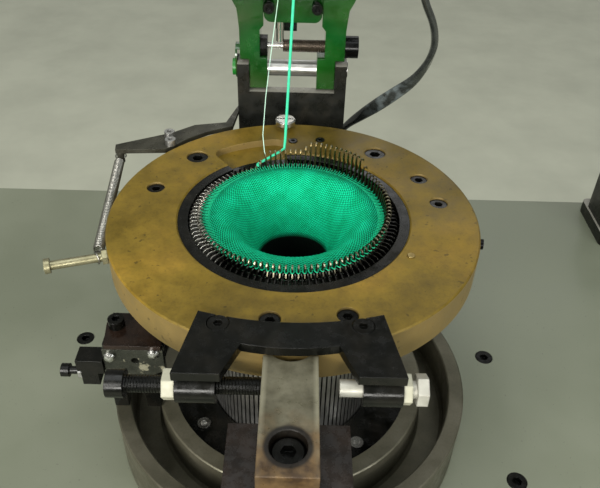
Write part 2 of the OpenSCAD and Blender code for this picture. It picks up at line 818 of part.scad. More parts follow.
module yarn_button() {
    color([0.78, 0.78, 0.76])
    at_cap_top()
    translate([button_place[0], button_place[1], 0])
    difference() {
        rotate_extrude($fn = round_fn)
            polygon([
                [0, -8], [2.5, -8], [2.5, 0], [3.2, 0], [button_r - 0.6, 3.4], [button_r, 4],
                [button_r, button_h - 0.8], [button_r - 0.8, button_h], [0, button_h]]);
        translate([-button_r - cut, -0.8, button_h - 1.4]) cube([2 * (button_r + cut), 1.6, 3]);
    }
}

module arch_outline() {
    half = arch_rear_w / 2;
    rear_r = (half * half + arch_rear_sag * arch_rear_sag) / (2 * arch_rear_sag);
    slope = (arch_foot_w - arch_rear_w) / 2 / (arch_rear_y - arch_foot_y);
    top_y = arch_rear_y + 6;
    difference() {
        union() {
            intersection() {
                circle(r = arch_front_r, $fn = round_fn);
                translate([-arch_inner_w / 2 - 2, -arch_front_r - 1]) square([arch_inner_w + 4, 30]);
            }
            for (x = [-1, 1])
                polygon([
                    [x * (half - 6 * slope), top_y], [x * arch_foot_w / 2, arch_foot_y],
                    [x * arch_foot_inner_w / 2, arch_foot_y], [x * arch_inner_w / 2, -arch_front_r + 2.3],
                    [x * arch_inner_w / 2, top_y]]);
        }
        translate([0, arch_rear_y - arch_rear_sag + rear_r]) circle(r = rear_r, $fn = round_fn);
    }
}

module arch_bracket() {
    color([0.10, 0.10, 0.11])
    at_cap_top()
    difference() {
        union() {
            linear_extrude(arch_t) arch_outline();
            for (x = [-1, 1]) {
                translate([x < 0 ? -boss_end_x : boss_start_x, stop_axis_y, stop_axis_z])
                    along_x() cylinder(r = boss_r, h = boss_end_x - boss_start_x, $fn = small_fn);
                translate([x < 0 ? -boss_end_x + 3 : boss_start_x + 1, stop_axis_y - 2, stop_axis_z])
                    cube([boss_end_x - boss_start_x - 4, boss_web_d, -stop_axis_z + 1]);
            }
        }
        translate([-boss_end_x - cut, stop_axis_y, stop_axis_z])
            along_x() cylinder(r = stop_bolt_d / 2 + run_fit, h = 2 * (boss_end_x + cut), $fn = small_fn);
        for (x = [-1, 1])
            translate([x * arch_screw_place[0], arch_screw_place[1], arch_screw_z]) screw_seat(6, 10, 10);
    }
}

module arch_screws() {
    color([0.12, 0.12, 0.12])
    at_cap_top()
    for (x = [-1, 1])
        translate([x * arch_screw_place[0], arch_screw_place[1], arch_screw_z])
        difference() {
            union() {
                cylinder(r = 5, h = 3.6, $fn = small_fn);
                translate([0, 0, -13]) cylinder(r = 3, h = 14, $fn = small_fn);
            }
            translate([0, 0, 1.4]) cylinder(r = 2.3, h = 3, $fn = 6);
        }
}

module left_stop_bolt() {
    color([0.14, 0.14, 0.14])
    at_cap_top()
    translate([left_bolt_end_x, stop_axis_y, stop_axis_z])
        rotate([0, -90, 0]) socket_screw(stop_bolt_d, left_tip_x - left_bolt_end_x);
}

module stop_lock_nuts() {
    color([0.80, 0.78, 0.66])
    at_cap_top()
    for (nut = [[-boss_end_x - left_nut_t, left_nut_t], [boss_end_x, right_nut_t]])
        translate([nut[0], stop_axis_y, stop_axis_z])
            along_x() rotate([0, 0, 30]) hex_nut(stop_bolt_d, nut[1]);
}

module right_stop_bolt() {
    color([0.80, 0.80, 0.78])
    at_cap_top()
    translate([right_tip_x, stop_axis_y, stop_axis_z])
    along_x() {
        cylinder(r = stop_bolt_d / 2, h = right_bolt_end_x - right_tip_x + 0.5, $fn = small_fn);
        translate([0, 0, right_bolt_end_x - right_tip_x]) cylinder(r = 7.4, h = 5, $fn = 6);
    }
}

// Fixed stop

module stop_block() {
    color([0.13, 0.11, 0.10])
    at_cap_top()
    difference() {
        translate([stop_bar_x - stop_block_w / 2, stop_block_rear_y - stop_block_d, bed_z])
            cube([stop_block_w, stop_block_d, stop_bar_bottom_z - bed_z]);
        translate([stop_bar_x, stop_screw_y, stop_bar_bottom_z - 20])
            cylinder(r = 4 + run_fit, h = 21, $fn = small_fn);
    }
}

module stop_bar() {
    scallop_y = stop_bar_end_y - stop_bar_scallop_depth + stop_bar_scallop_r;
    color([0.52, 0.51, 0.44])
    at_cap_top()
    difference() {
        translate([stop_bar_x - stop_bar_w / 2, stop_bar_start_y, stop_bar_bottom_z])
            cube([stop_bar_w, stop_bar_end_y - stop_bar_start_y, stop_bar_t]);
        translate([stop_bar_x, scallop_y, stop_bar_bottom_z - cut])
            cylinder(r = stop_bar_scallop_r, h = stop_bar_t + 2 * cut, $fn = round_fn);
        translate([stop_bar_x, stop_screw_y, stop_bar_top_z - stop_recess_depth])
            cylinder(r = 7.9, h = stop_recess_depth + cut, $fn = small_fn);
        translate([stop_bar_x, stop_screw_y, stop_bar_bottom_z - cut])
            cylinder(r = 4 + run_fit, h = stop_bar_t, $fn = small_fn);
    }
}

module stop_bar_screw() {
    color([0.12, 0.12, 0.12])
    at_cap_top()
    translate([stop_bar_x, stop_screw_y, stop_bar_top_z - stop_recess_depth])
        socket_screw(8, stop_bar_t + 6);
}

// Return spring

stud_hook_r = cap_r + spring_hook_out;
hook_place = concat(polar(stud_hook_r, stud_azimuth), stud_z);
tip_place = concat(spring_tip, spring_arm_z - spring_arm_t);
spring_vector = tip_place - hook_place;
spring_dir = spring_vector / norm(spring_vector);
spring_turn = atan2(spring_vector[1], spring_vector[0]);
spring_pitch_angle = asin(spring_dir[2]);

module spring_stud() {
    color([0.66, 0.56, 0.32])
    at_cap_top()
    rotate([0, 0, stud_azimuth]) translate([cap_r - 9.5, 0, stud_z])
    along_x() {
        cylinder(r = stud_r, h = 9.5 + stud_length, $fn = small_fn);
        translate([0, 0, 9.6]) cylinder(r = 4.4, h = 3, $fn = 6);
        translate([0, 0, 9.5 + stud_length]) cylinder(r = 4.2, h = 3, $fn = small_fn);
    }
}

module spring_loop(r) {
    rotate_extrude($fn = small_fn)
        translate([r, 0]) circle(r = spring_wire_r, $fn = small_fn);
}

module return_spring() {
    body_start = 8;
    body_length = norm(spring_vector) - 16;
    groove = 0.45;
    hook_r = 3.2;
    turns = floor(body_length / spring_pitch);
    body_end = body_start + turns * spring_pitch;
    color([0.62, 0.62, 0.60])
    at_cap_top()
    translate(hook_place) rotate([0, 0, spring_turn]) rotate([0, 90 - spring_pitch_angle, 0]) {
        translate([0, 0, body_start])
        rotate_extrude($fn = small_fn)
            polygon(concat(
                [[0, 0]],
                [for (i = [0:turns - 1]) each [
                    [spring_r - groove, i * spring_pitch], [spring_r, (i + 0.5) * spring_pitch]]],
                [[spring_r - groove, turns * spring_pitch], [0, turns * spring_pitch]]));
        for (end = [[hook_r, body_start], [body_end, norm(spring_vector) - hook_r]])
            translate([0, 0, end[0] - 0.2])
                cylinder(r = spring_wire_r - 0.12, h = end[1] - end[0] + 0.4, $fn = small_fn);
        rotate([90, 0, 0]) spring_loop(hook_r);
        translate([0, 0, norm(spring_vector)]) rotate([0, 90, 0]) spring_loop(hook_r);
    }
}

arm_root = [-83, 80];
arm_plate_r = cap_r + 2.5;

module spring_arm() {
    color([0.17, 0.17, 0.16])
    at_cap_top()
    translate([0, 0, spring_arm_z])
    difference() {
        linear_extrude(spring_arm_t)
            polygon([
                spring_tip + [-3.5, 4], spring_tip + [1, 6.5], arm_root + [-1, 10.5], arm_root + [13, 22],
                [-49, 107], [head_x - clevis_w / 2, clevis_front_y + 12],
                [head_x - clevis_w / 2, clevis_front_y + 1],
                [-44, 102], [-60, 93.5], [-72, 83.5], [-79.5, 74], arm_root + [-2, -11],
                spring_tip + [-2.5, -2.5]]);
        for (p = spring_screw_places)
            translate([p[0], p[1], -cut]) cylinder(r = 2 + run_fit, h = spring_arm_t + 2 * cut, $fn = small_fn);
    }
    color([0.17, 0.17, 0.16])
    at_cap_top()
    translate([spring_tip[0], spring_tip[1], spring_arm_z - 7.2]) cylinder(r = 2.4, h = 7.5, $fn = small_fn);
}

spring_screw_places = [[-84.6, 85.5], [-82.4, 75.2]];

module spring_arm_screws() {
    color([0.75, 0.75, 0.72])
    at_cap_top()
    for (p = spring_screw_places)
        translate([p[0], p[1], spring_arm_z + spring_arm_t]) socket_screw(4, 5);
}

// Hinge and head

module ear_outline() {
    back_y = clevis_d;
    polygon(concat(
        [[0, bed_z], [0, clevis_top_z]],
        arc_points([back_y - clevis_corner_r, clevis_top_z - clevis_corner_r], clevis_corner_r, 90, 0, 8),
        [[back_y, bed_z]]));
}

module clevis_bracket() {
    inner_x = clevis_w / 2 - clevis_wall;
    gland_x = head_x + clevis_w / 2 - clevis_wall / 2;
    color([0.12, 0.11, 0.11])
    at_cap_top()
    difference() {
        union() {
            for (x = [head_x - clevis_w / 2, head_x + inner_x])
                translate([x + clevis_wall, clevis_front_y, 0]) rotate([90, 0, -90])
                    mirror([1, 0, 0]) linear_extrude(clevis_wall) ear_outline();
            translate([head_x - inner_x - 0.5, clevis_front_y, bed_z])
                cube([2 * inner_x + 1, clevis_wall, web_top_z - bed_z]);
            translate([head_x - clevis_foot_w / 2, clevis_foot_y, bed_z])
                cube([clevis_foot_w, clevis_foot_d, clevis_foot_h]);
            translate([gland_x, clevis_front_y + clevis_d - 1, cable_end_z])
                along_y() cylinder(r = 6, h = 8, $fn = small_fn);
        }
        translate([head_x - clevis_w / 2 - cut, hinge_y, hinge_z])
            along_x() cylinder(r = hinge_r + run_fit, h = clevis_w + 2 * cut, $fn = small_fn);
    }
}

module hinge_shaft() {
    end = 4;
    color([0.78, 0.78, 0.77])
    at_cap_top()
    translate([head_x - clevis_w / 2 - end, hinge_y, hinge_z])
        along_x() cylinder(r = hinge_r, h = clevis_w + end + 1, $fn = small_fn);
}

module lug_outline() {
    heel_front = arm_front_y - hinge_y;
    heel_r = hinge_z - web_top_z - 1.2;
    lug_top = lug_top_z - hinge_z;
    polygon(concat(
        [[heel_front, lug_top], [heel_front, 1 - heel_r], [heel_front + 1, -heel_r]],
        arc_points([0, 0], heel_r, -90, 0, 8),
        [[heel_r, lug_top]]));
}

// Front view of one arm of the casting, which widens towards its top
module head_arm(side) {
    polygon([
        [side * arm_in, lug_top_z - 6], [side * arm_out, lug_top_z - 6],
        [side * arm_out, arm_top_z - 38], [side * (arm_out + 0.8), arm_top_z - 29],
        [side * (arm_out + 1.4), arm_top_z - 24], [side * (arm_out + 4), arm_top_z - 19],
        [side * (arm_out + 8.4), arm_top_z - 8], [side * (arm_out + 2.4), arm_top_z],
        [0, arm_top_z], [0, arm_top_z - 14],
        [side * (plate_w / 2 + gap), arm_top_z - 14], [side * (plate_w / 2 + gap), plate_bottom_z - 2],
        [side * arm_in, plate_bottom_z - 5]]);
}

// Thin cheek of the left arm that reaches down outside the ear to the end of the shaft
module cheek() {
    translate([head_x - clevis_w / 2 - gap - cheek_t, hinge_y, hinge_z])
        rotate([90, 0, 90])
        linear_extrude((clevis_w / 2 + gap + cheek_t) - arm_out + 1)
        hull() {
            circle(r = hinge_r + 1.5, $fn = small_fn);
            translate([0, cheek_top_r - cheek_round_r]) circle(r = cheek_round_r, $fn = small_fn);
        }
}

module head_casting() {
    lug_out = lug_gap / 2 + lug_w;
    clear_w = clevis_w / 2 + gap - lug_out;
    color([0.03, 0.42, 0.12])
    at_cap_top()
    difference() {
        union() {
            for (side = [-1, 1]) {
                translate([side < 0 ? head_x - lug_gap / 2 - lug_w : head_x + lug_gap / 2, hinge_y, hinge_z])
                    translate([lug_w, 0, 0]) rotate([90, 0, -90]) mirror([1, 0, 0])
                        linear_extrude(lug_w) lug_outline();
                translate([head_x, arm_front_y + arm_d, 0]) rotate([90, 0, 0])
                    linear_extrude(arm_d) head_arm(side);
            }
            cheek();
            translate([head_x - plate_w / 2 - 2, arm_front_y + plate_t + 1, plate_bottom_z + 4])
                cube([plate_w + 4, 8, arm_top_z - 12 - plate_bottom_z - 4]);
        }
        translate([head_x - clevis_w / 2 - 4, hinge_y, hinge_z])
            along_x() cylinder(r = hinge_r + run_fit, h = clevis_w + 4, $fn = small_fn);
        for (x = [head_x - lug_out - clear_w, head_x + lug_out])
            translate([x, hinge_y, hinge_z])
                along_x() cylinder(r = ear_clear_r, h = clear_w, $fn = round_fn);
        translate([head_x, cross_y, cross_z])
            along_x() cylinder(r = cross_r + run_fit, h = arm_out + cut, $fn = small_fn);
        translate([head_x - arm_in - cross_tip_depth - gap, cross_y, cross_z])
            along_x() cylinder(r = cross_tip_r + run_fit, h = cross_tip_depth + cut, $fn = small_fn);
        for (x = [-1, 1])
            translate([head_x + x * slot_x, arm_front_y - cut, slot_screw_z])
                along_y() cylinder(r = 2 + run_fit, h = 18, $fn = small_fn);
    }
}

module slotted_plate() {
    color([0.04, 0.46, 0.15])
    at_cap_top()
    difference() {
        translate([head_x, arm_front_y + plate_t + 1, 0]) rotate([90, 0, 0])
        linear_extrude(plate_t)
        difference() {
            polygon(concat(
                [[plate_w / 2, arm_top_z - 15]], [[plate_w / 2, plate_bottom_z + 5]],
                arc_points([plate_w / 2 - 5, plate_bottom_z + 5], 5, 0, -90, 6),
                arc_points([-plate_w / 2 + 5, plate_bottom_z + 5], 5, -90, -180, 6),
                [[-plate_w / 2, arm_top_z - 15]]));
            for (x = [-1, 1]) {
                translate([x * slot_x, slot_screw_z]) circle(r = slot_half_w, $fn = small_fn);
                translate([x * slot_x - slot_half_w, slot_screw_z]) square([2 * slot_half_w, slot_rise]);
                translate([x * slot_x, slot_screw_z + slot_rise]) circle(r = slot_half_w, $fn = small_fn);
            }
        }
    }
}

module slotted_plate_screws() {
    color([0.20, 0.20, 0.20])
    at_cap_top()
    for (x = [-1, 1])
        translate([head_x + x * slot_x, arm_front_y + 1, slot_screw_z])
            rotate([90, 0, 0]) socket_screw(4, 14);
}

module guide_pin() {
    color([0.75, 0.75, 0.74])
    at_cap_top()
    translate([head_x - 8.5, cross_y - 2.5, cross_z + cross_r + gap]) {
        cylinder(r = 2.6, h = plate_bottom_z - cross_z - cross_r - gap, $fn = small_fn);
        translate([0, 0, plate_bottom_z - cross_z - cross_r - gap - 5]) cylinder(r = 3, h = 5, $fn = small_fn);
    }
}

module clamp_block() {
    color([0.10, 0.10, 0.10])
    at_cap_top()
    translate([head_x - 6.3, arm_front_y + plate_t + 1.2, plate_bottom_z - 8])
        cube([9, 8, 12]);
}

module cross_screw() {
    tip_length = cross_tip_depth + 15.5;
    length = cross_head_x - head_x + arm_in + cross_tip_depth;
    color([0.20, 0.17, 0.12])
    at_cap_top()
    translate([cross_head_x, cross_y, cross_z])
    along_x()
    difference() {
        union() {
            cylinder(r = 7.4, h = 9, $fn = small_fn);
            translate([0, 0, tip_length - length])
                cylinder(r = cross_r, h = length - tip_length + 0.5, $fn = small_fn);
            translate([0, 0, -length]) cylinder(r = cross_tip_r, h = tip_length + 0.5, $fn = small_fn);
        }
        translate([0, 0, 5]) cylinder(r = 4, h = 6, $fn = 6);
    }
}

module cross_nut() {
    color([0.12, 0.12, 0.12])
    at_cap_top()
    translate([head_x - arm_in, cross_y, cross_z])
        along_x() rotate([0, 0, 30]) difference() {
            cylinder(r = cross_nut_r, h = 5, $fn = 6);
            translate([0, 0, -cut]) cylinder(r = cross_tip_r + run_fit, h = 5 + 2 * cut, $fn = small_fn);
        }
}

// Lever group

module lever_block() {
    color([0.09, 0.09, 0.09])
    at_cap_top()
    difference() {
        union() {
            translate([lever_left_x, lever_front_y, housing_top_z])
                cube([lever_right_x - lever_left_x, lever_d, lever_top_z - housing_top_z]);
            translate([lever_left_x + 6, lever_front_y, lever_top_z - 12])
                cube([lever_right_x - lever_left_x + 1, lever_d, 12]);
        }
        translate([lever_left_x + 9, lever_front_y - cut, housing_top_z - cut])
            cube([12, lever_d + 2 * cut, 18]);
        translate(concat(lever_screw_place, lever_top_z - 12)) cylinder(r = 3 + run_fit, h = 13, $fn = small_fn);
    }
}

module lever_face_plate() {
    t = 4;
    color([0.28, 0.31, 0.28])
    at_cap_top()
    translate([0, lever_front_y, 0]) rotate([90, 0, 0])
    linear_extrude(t)
    difference() {
        polygon([
            [-113.5, lever_top_z - gap], [-77, lever_top_z - gap], [-77, lever_top_z - 18],
            [-84, lever_top_z - 22], [-104, lever_top_z - 22], [-107, lever_top_z - 40],
            [-113.5, lever_top_z - 40]]);
        translate([-94.4, lever_top_z - 9.6]) circle(r = 2.4, $fn = small_fn);
    }
}

module face_plate_nuts() {
    color([0.85, 0.85, 0.84])
    at_cap_top()
    for (p = [[-109.2, -82.7], [-82.5, -79.4]])
        translate([p[0], lever_front_y - 4, p[1]]) rotate([90, 0, 0])
        rotate_extrude($fn = small_fn)
            polygon([[0, 0], [3.7, 0], [3.7, 1.4], [2.8, 2.6], [1.2, 3.2], [0, 3.3]]);
}

module lever_top_plate() {
    color([0.16, 0.11, 0.10])
    at_cap_top()
    translate([0, 0, lever_top_z])
    difference() {
        linear_extrude(lever_top_t)
            polygon([
                [-112, lever_front_y - 4], [-78, lever_front_y - 4], [-78, -8],
                [-100, -9], [-112, -9], [-114, -18]]);
        translate(concat(lever_screw_place, -cut))
            cylinder(r = 3 + run_fit, h = lever_top_t + 2 * cut, $fn = small_fn);
    }
}

module lever_top_screw() {
    color([0.12, 0.12, 0.12])
    at_cap_top()
    translate(concat(lever_screw_place, lever_top_z + lever_top_t)) socket_screw(6, 14);
}

module side_arm_block() {
    color([0.15, 0.14, 0.12])
    at_cap_top()
    translate([0, lever_front_y + 6, 0]) rotate([90, 0, 0])
    difference() {
        linear_extrude(12)
            polygon([
                [side_arm_left_x, side_arm_z], [lever_left_x, side_arm_z],
                [lever_left_x, side_arm_z - 11], [lever_left_x - 4, side_arm_z - 11],
                [lever_left_x - 4, side_arm_z - 21], [side_arm_left_x + 2, side_arm_z - 21],
                [side_arm_left_x + 2, side_arm_z - 9], [side_arm_left_x, side_arm_z - 9]]);
        translate([side_arm_left_x - cut, side_arm_z - 15, 6])
            along_x() cylinder(r = 2.5 + run_fit, h = 20, $fn = small_fn);
    }
}

module side_adjust_screw() {
    color([0.12, 0.12, 0.12])
    at_cap_top()
    translate([side_arm_left_x - 7, lever_front_y, side_arm_z - 15])
        rotate([0, -90, 0]) socket_screw(5, 17);
}

module side_adjust_nut() {
    color([0.85, 0.85, 0.83])
    at_cap_top()
    translate([side_arm_left_x + 2 - 3.2, lever_front_y, side_arm_z - 15])
        along_x() hex_nut(5, 3.2);
}

// Yarn supply

module mast_foot() {
    color([0.10, 0.10, 0.10])
    at_cap_top()
    translate([mast_x, mast_y, bed_z])
    difference() {
        union() {
            rounded_plate(mast_foot_w, mast_foot_d, mast_foot_t, 6);
            translate([0, 0, mast_foot_t - cut]) rounded_plate(mast_socket_w, mast_socket_d, mast_socket_h, 5);
        }
        translate([0, 0, mast_seat])
            cylinder(r = mast_r + run_fit, h = mast_foot_t + mast_socket_h - mast_seat, $fn = small_fn);
    }
}

module yarn_mast() {
    color([0.72, 0.72, 0.70])
    at_cap_top()
    translate([mast_x, mast_y, bed_z + mast_seat])
        cylinder(r = mast_r, h = boom_rise - bed_z + 20, $fn = small_fn);
}

// The eyelets stand on the line of the boom: place and radius of the yarn in each
eyelets = [
    [main_yarn_route[0][0], main_yarn_route[0][1], main_yarn_r],
    [fine_yarn_route[0][0], fine_yarn_route[0][1], fine_yarn_r]];
eyelet_r = 3;

module eyelet_holder() {
    translate([-4.6, -4.6, -boom_r - 8]) cube([9.2, 9.2, 2.5]);
    translate([-4.6, -4.6, -boom_r - 8]) cube([1.6, 9.2, boom_r + 3]);
}

module yarn_boom() {
    collar_h = 32;
    collar_wall = 7;
    neck_l = 14;
    neck_w = 22;
    neck_x = mast_r + 2;
    color([0.72, 0.72, 0.70])
    at_cap_top()
    translate([mast_x, mast_y, boom_rise]) rotate([0, 0, boom_angle + 180]) {
        difference() {
            union() {
                translate([neck_x, 0, 0]) along_x()
                    cylinder(r = boom_r, h = boom_length - neck_x, $fn = small_fn);
                translate([0, 0, -collar_h / 2])
                    cylinder(r = mast_r + collar_wall, h = collar_h, $fn = small_fn);
                translate([neck_x, -neck_w / 2, -neck_w / 2]) cube([neck_l, neck_w, neck_w]);
                for (e = eyelets)
                    translate([norm([mast_x - e[0], mast_y - e[1]]), 0, 0]) eyelet_holder();
            }
            translate([0, 0, -collar_h / 2 - cut])
                cylinder(r = mast_r + run_fit, h = collar_h + 2 * cut, $fn = small_fn);
            for (e = eyelets)
                translate([norm([mast_x - e[0], mast_y - e[1]]), 0, -20])
                    cylinder(r = eyelet_r, h = 8, $fn = small_fn);
        }
    }
}

module stop_motion_box() {
    box_l = 48;
    box_w = 28;
    box_low_z = -22;
    box_h = 36;
    color([0.14, 0.14, 0.15])
    at_cap_top()
    translate([mast_x, mast_y, boom_rise]) rotate([0, 0, boom_angle + 180])
    translate([box_along, 0, 0])
    difference() {
        translate([-box_l / 2, -box_w / 2, box_low_z]) cube([box_l, box_w, box_h]);
        translate([-box_l / 2 - cut, 0, 0]) along_x()
            cylinder(r = boom_r + run_fit, h = box_l + 2 * cut, $fn = small_fn);
    }
}

module yarn_eyelets() {
    color([0.85, 0.84, 0.80])
    at_cap_top()
    for (e = eyelets)
        translate([e[0], e[1], eyelet_z])
            difference() {
                union() {
                    cylinder(r = eyelet_r - run_fit, h = eyelet_h, $fn = small_fn);
                    cylinder(r = eyelet_r + 1, h = 0.9, $fn = small_fn);
                }
                translate([0, 0, -cut]) cylinder(r = e[2] + 0.2, h = eyelet_h + 2 * cut, $fn = small_fn);
            }
}

// Cords

module main_yarn() {
    color([0.20, 0.80, 0.52])
    at_cap_top() cord(main_yarn_route, main_yarn_r, 8);
}

module fine_yarn() {
    color([0.75, 0.95, 0.80])
    at_cap_top() cord(fine_yarn_route, fine_yarn_r, 8);
}

module sensor_cable() {
    color([0.07, 0.07, 0.07])
    at_cap_top() cord(cable_route, cable_r, 10);
}

bed_plate();
bed_screws();
stand_legs();
stand_rails();
base_housing();
cam_ring();
cam_ring_screws();
cylinder_bearing();
needle_cylinder();
needles();
sinker_bed();
sinkers();
fabric_tube();
cylinder_gear();
drive_pinion();
motor_shaft();
drive_motor();
motor_bracket();
sinker_cap();
sinker_cam_liner();
cap_screws();
cap_pins();
yarn_button();
arch_bracket();
arch_screws();
left_stop_bolt();
right_stop_bolt();
stop_lock_nuts();
stop_block();
stop_bar();
stop_bar_screw();
spring_stud();
return_spring();
spring_arm();
spring_arm_screws();
clevis_bracket();
hinge_shaft();
head_casting();
slotted_plate();
slotted_plate_screws();
guide_pin();
clamp_block();
cross_screw();
cross_nut();
lever_block();
lever_face_plate();
face_plate_nuts();
lever_top_plate();
lever_top_screw();
side_arm_block();
side_adjust_screw();
side_adjust_nut();
mast_foot();
yarn_mast();
yarn_boom();
stop_motion_box();
yarn_eyelets();
main_yarn();
fine_yarn();
sensor_cable();
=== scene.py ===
# Circular knitting machine: materials, cloth, yarns, light and camera over the fixed frame.
import json
import math

import bpy
from mathutils import Matrix, Vector


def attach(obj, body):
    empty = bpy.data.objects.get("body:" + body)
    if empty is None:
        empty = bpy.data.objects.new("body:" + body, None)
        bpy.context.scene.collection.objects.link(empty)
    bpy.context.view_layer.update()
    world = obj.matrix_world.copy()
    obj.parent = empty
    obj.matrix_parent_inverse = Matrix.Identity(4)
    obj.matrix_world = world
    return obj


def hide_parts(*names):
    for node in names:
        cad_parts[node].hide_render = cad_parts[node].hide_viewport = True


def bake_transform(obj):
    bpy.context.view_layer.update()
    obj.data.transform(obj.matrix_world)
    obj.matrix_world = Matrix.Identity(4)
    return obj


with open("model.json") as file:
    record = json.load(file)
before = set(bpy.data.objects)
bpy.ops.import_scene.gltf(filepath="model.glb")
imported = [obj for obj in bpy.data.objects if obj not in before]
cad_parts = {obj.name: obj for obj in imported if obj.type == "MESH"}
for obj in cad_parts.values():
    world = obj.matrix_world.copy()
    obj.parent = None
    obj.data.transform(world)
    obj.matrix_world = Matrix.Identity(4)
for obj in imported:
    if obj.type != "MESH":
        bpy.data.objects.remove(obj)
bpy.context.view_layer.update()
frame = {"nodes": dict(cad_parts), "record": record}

MM = 0.001
# Height of the cap's top face above the floor; shapes are measured from the centre of that face
CAP_TOP = 930 * MM
IMAGE_WIDTH = 600
NEEDLES = 104


def place(x, y, z):
    """A point given in millimetres from the centre of the cap's top face, in metres from the floor."""
    return Vector((x * MM, y * MM, z * MM + CAP_TOP))


def place_round(turn, r, z, side=0.0):
    """A point at a radius and turn about the cylinder's axis, and shifted sideways from there."""
    return place(r * math.cos(turn) - side * math.sin(turn), r * math.sin(turn) + side * math.cos(turn), z)


def turns(count):
    """The angles that share out a full turn evenly."""
    return [2 * math.pi * k / count for k in range(count)]


# Camera

CAMERA_PLACE = place(1.3, -313.9, 227.7)
CAMERA_YAW = 0.0084
CAMERA_PITCH = 0.6727
CAMERA_ROLL = 0.0295
FOCAL_PIXELS = 678.1
SENSOR_WIDTH = 36
NEAREST_SEEN = 0.01


def make_camera():
    data = bpy.data.cameras.new("camera")
    data.sensor_width = SENSOR_WIDTH
    data.lens = FOCAL_PIXELS / IMAGE_WIDTH * SENSOR_WIDTH
    data.clip_start = NEAREST_SEEN
    forward = Vector((
        math.sin(CAMERA_YAW) * math.cos(CAMERA_PITCH),
        math.cos(CAMERA_YAW) * math.cos(CAMERA_PITCH),
        -math.sin(CAMERA_PITCH)))
    level = Vector((math.cos(CAMERA_YAW), -math.sin(CAMERA_YAW), 0))
    upright = level.cross(forward)
    right = level * math.cos(CAMERA_ROLL) + upright * math.sin(CAMERA_ROLL)
    up = upright * math.cos(CAMERA_ROLL) - level * math.sin(CAMERA_ROLL)
    turn = Matrix((right, up, -forward)).transposed()
    camera = bpy.data.objects.new("camera", data)
    camera.matrix_world = Matrix.Translation(CAMERA_PLACE) @ turn.to_4x4()
    bpy.context.scene.collection.objects.link(camera)
    bpy.context.scene.camera = camera


# Material helpers

# Sockets of the node that mixes two colours
MIX_AMOUNT = 0
MIX_FIRST = 6
MIX_SECOND = 7
MIX_RESULT = 2


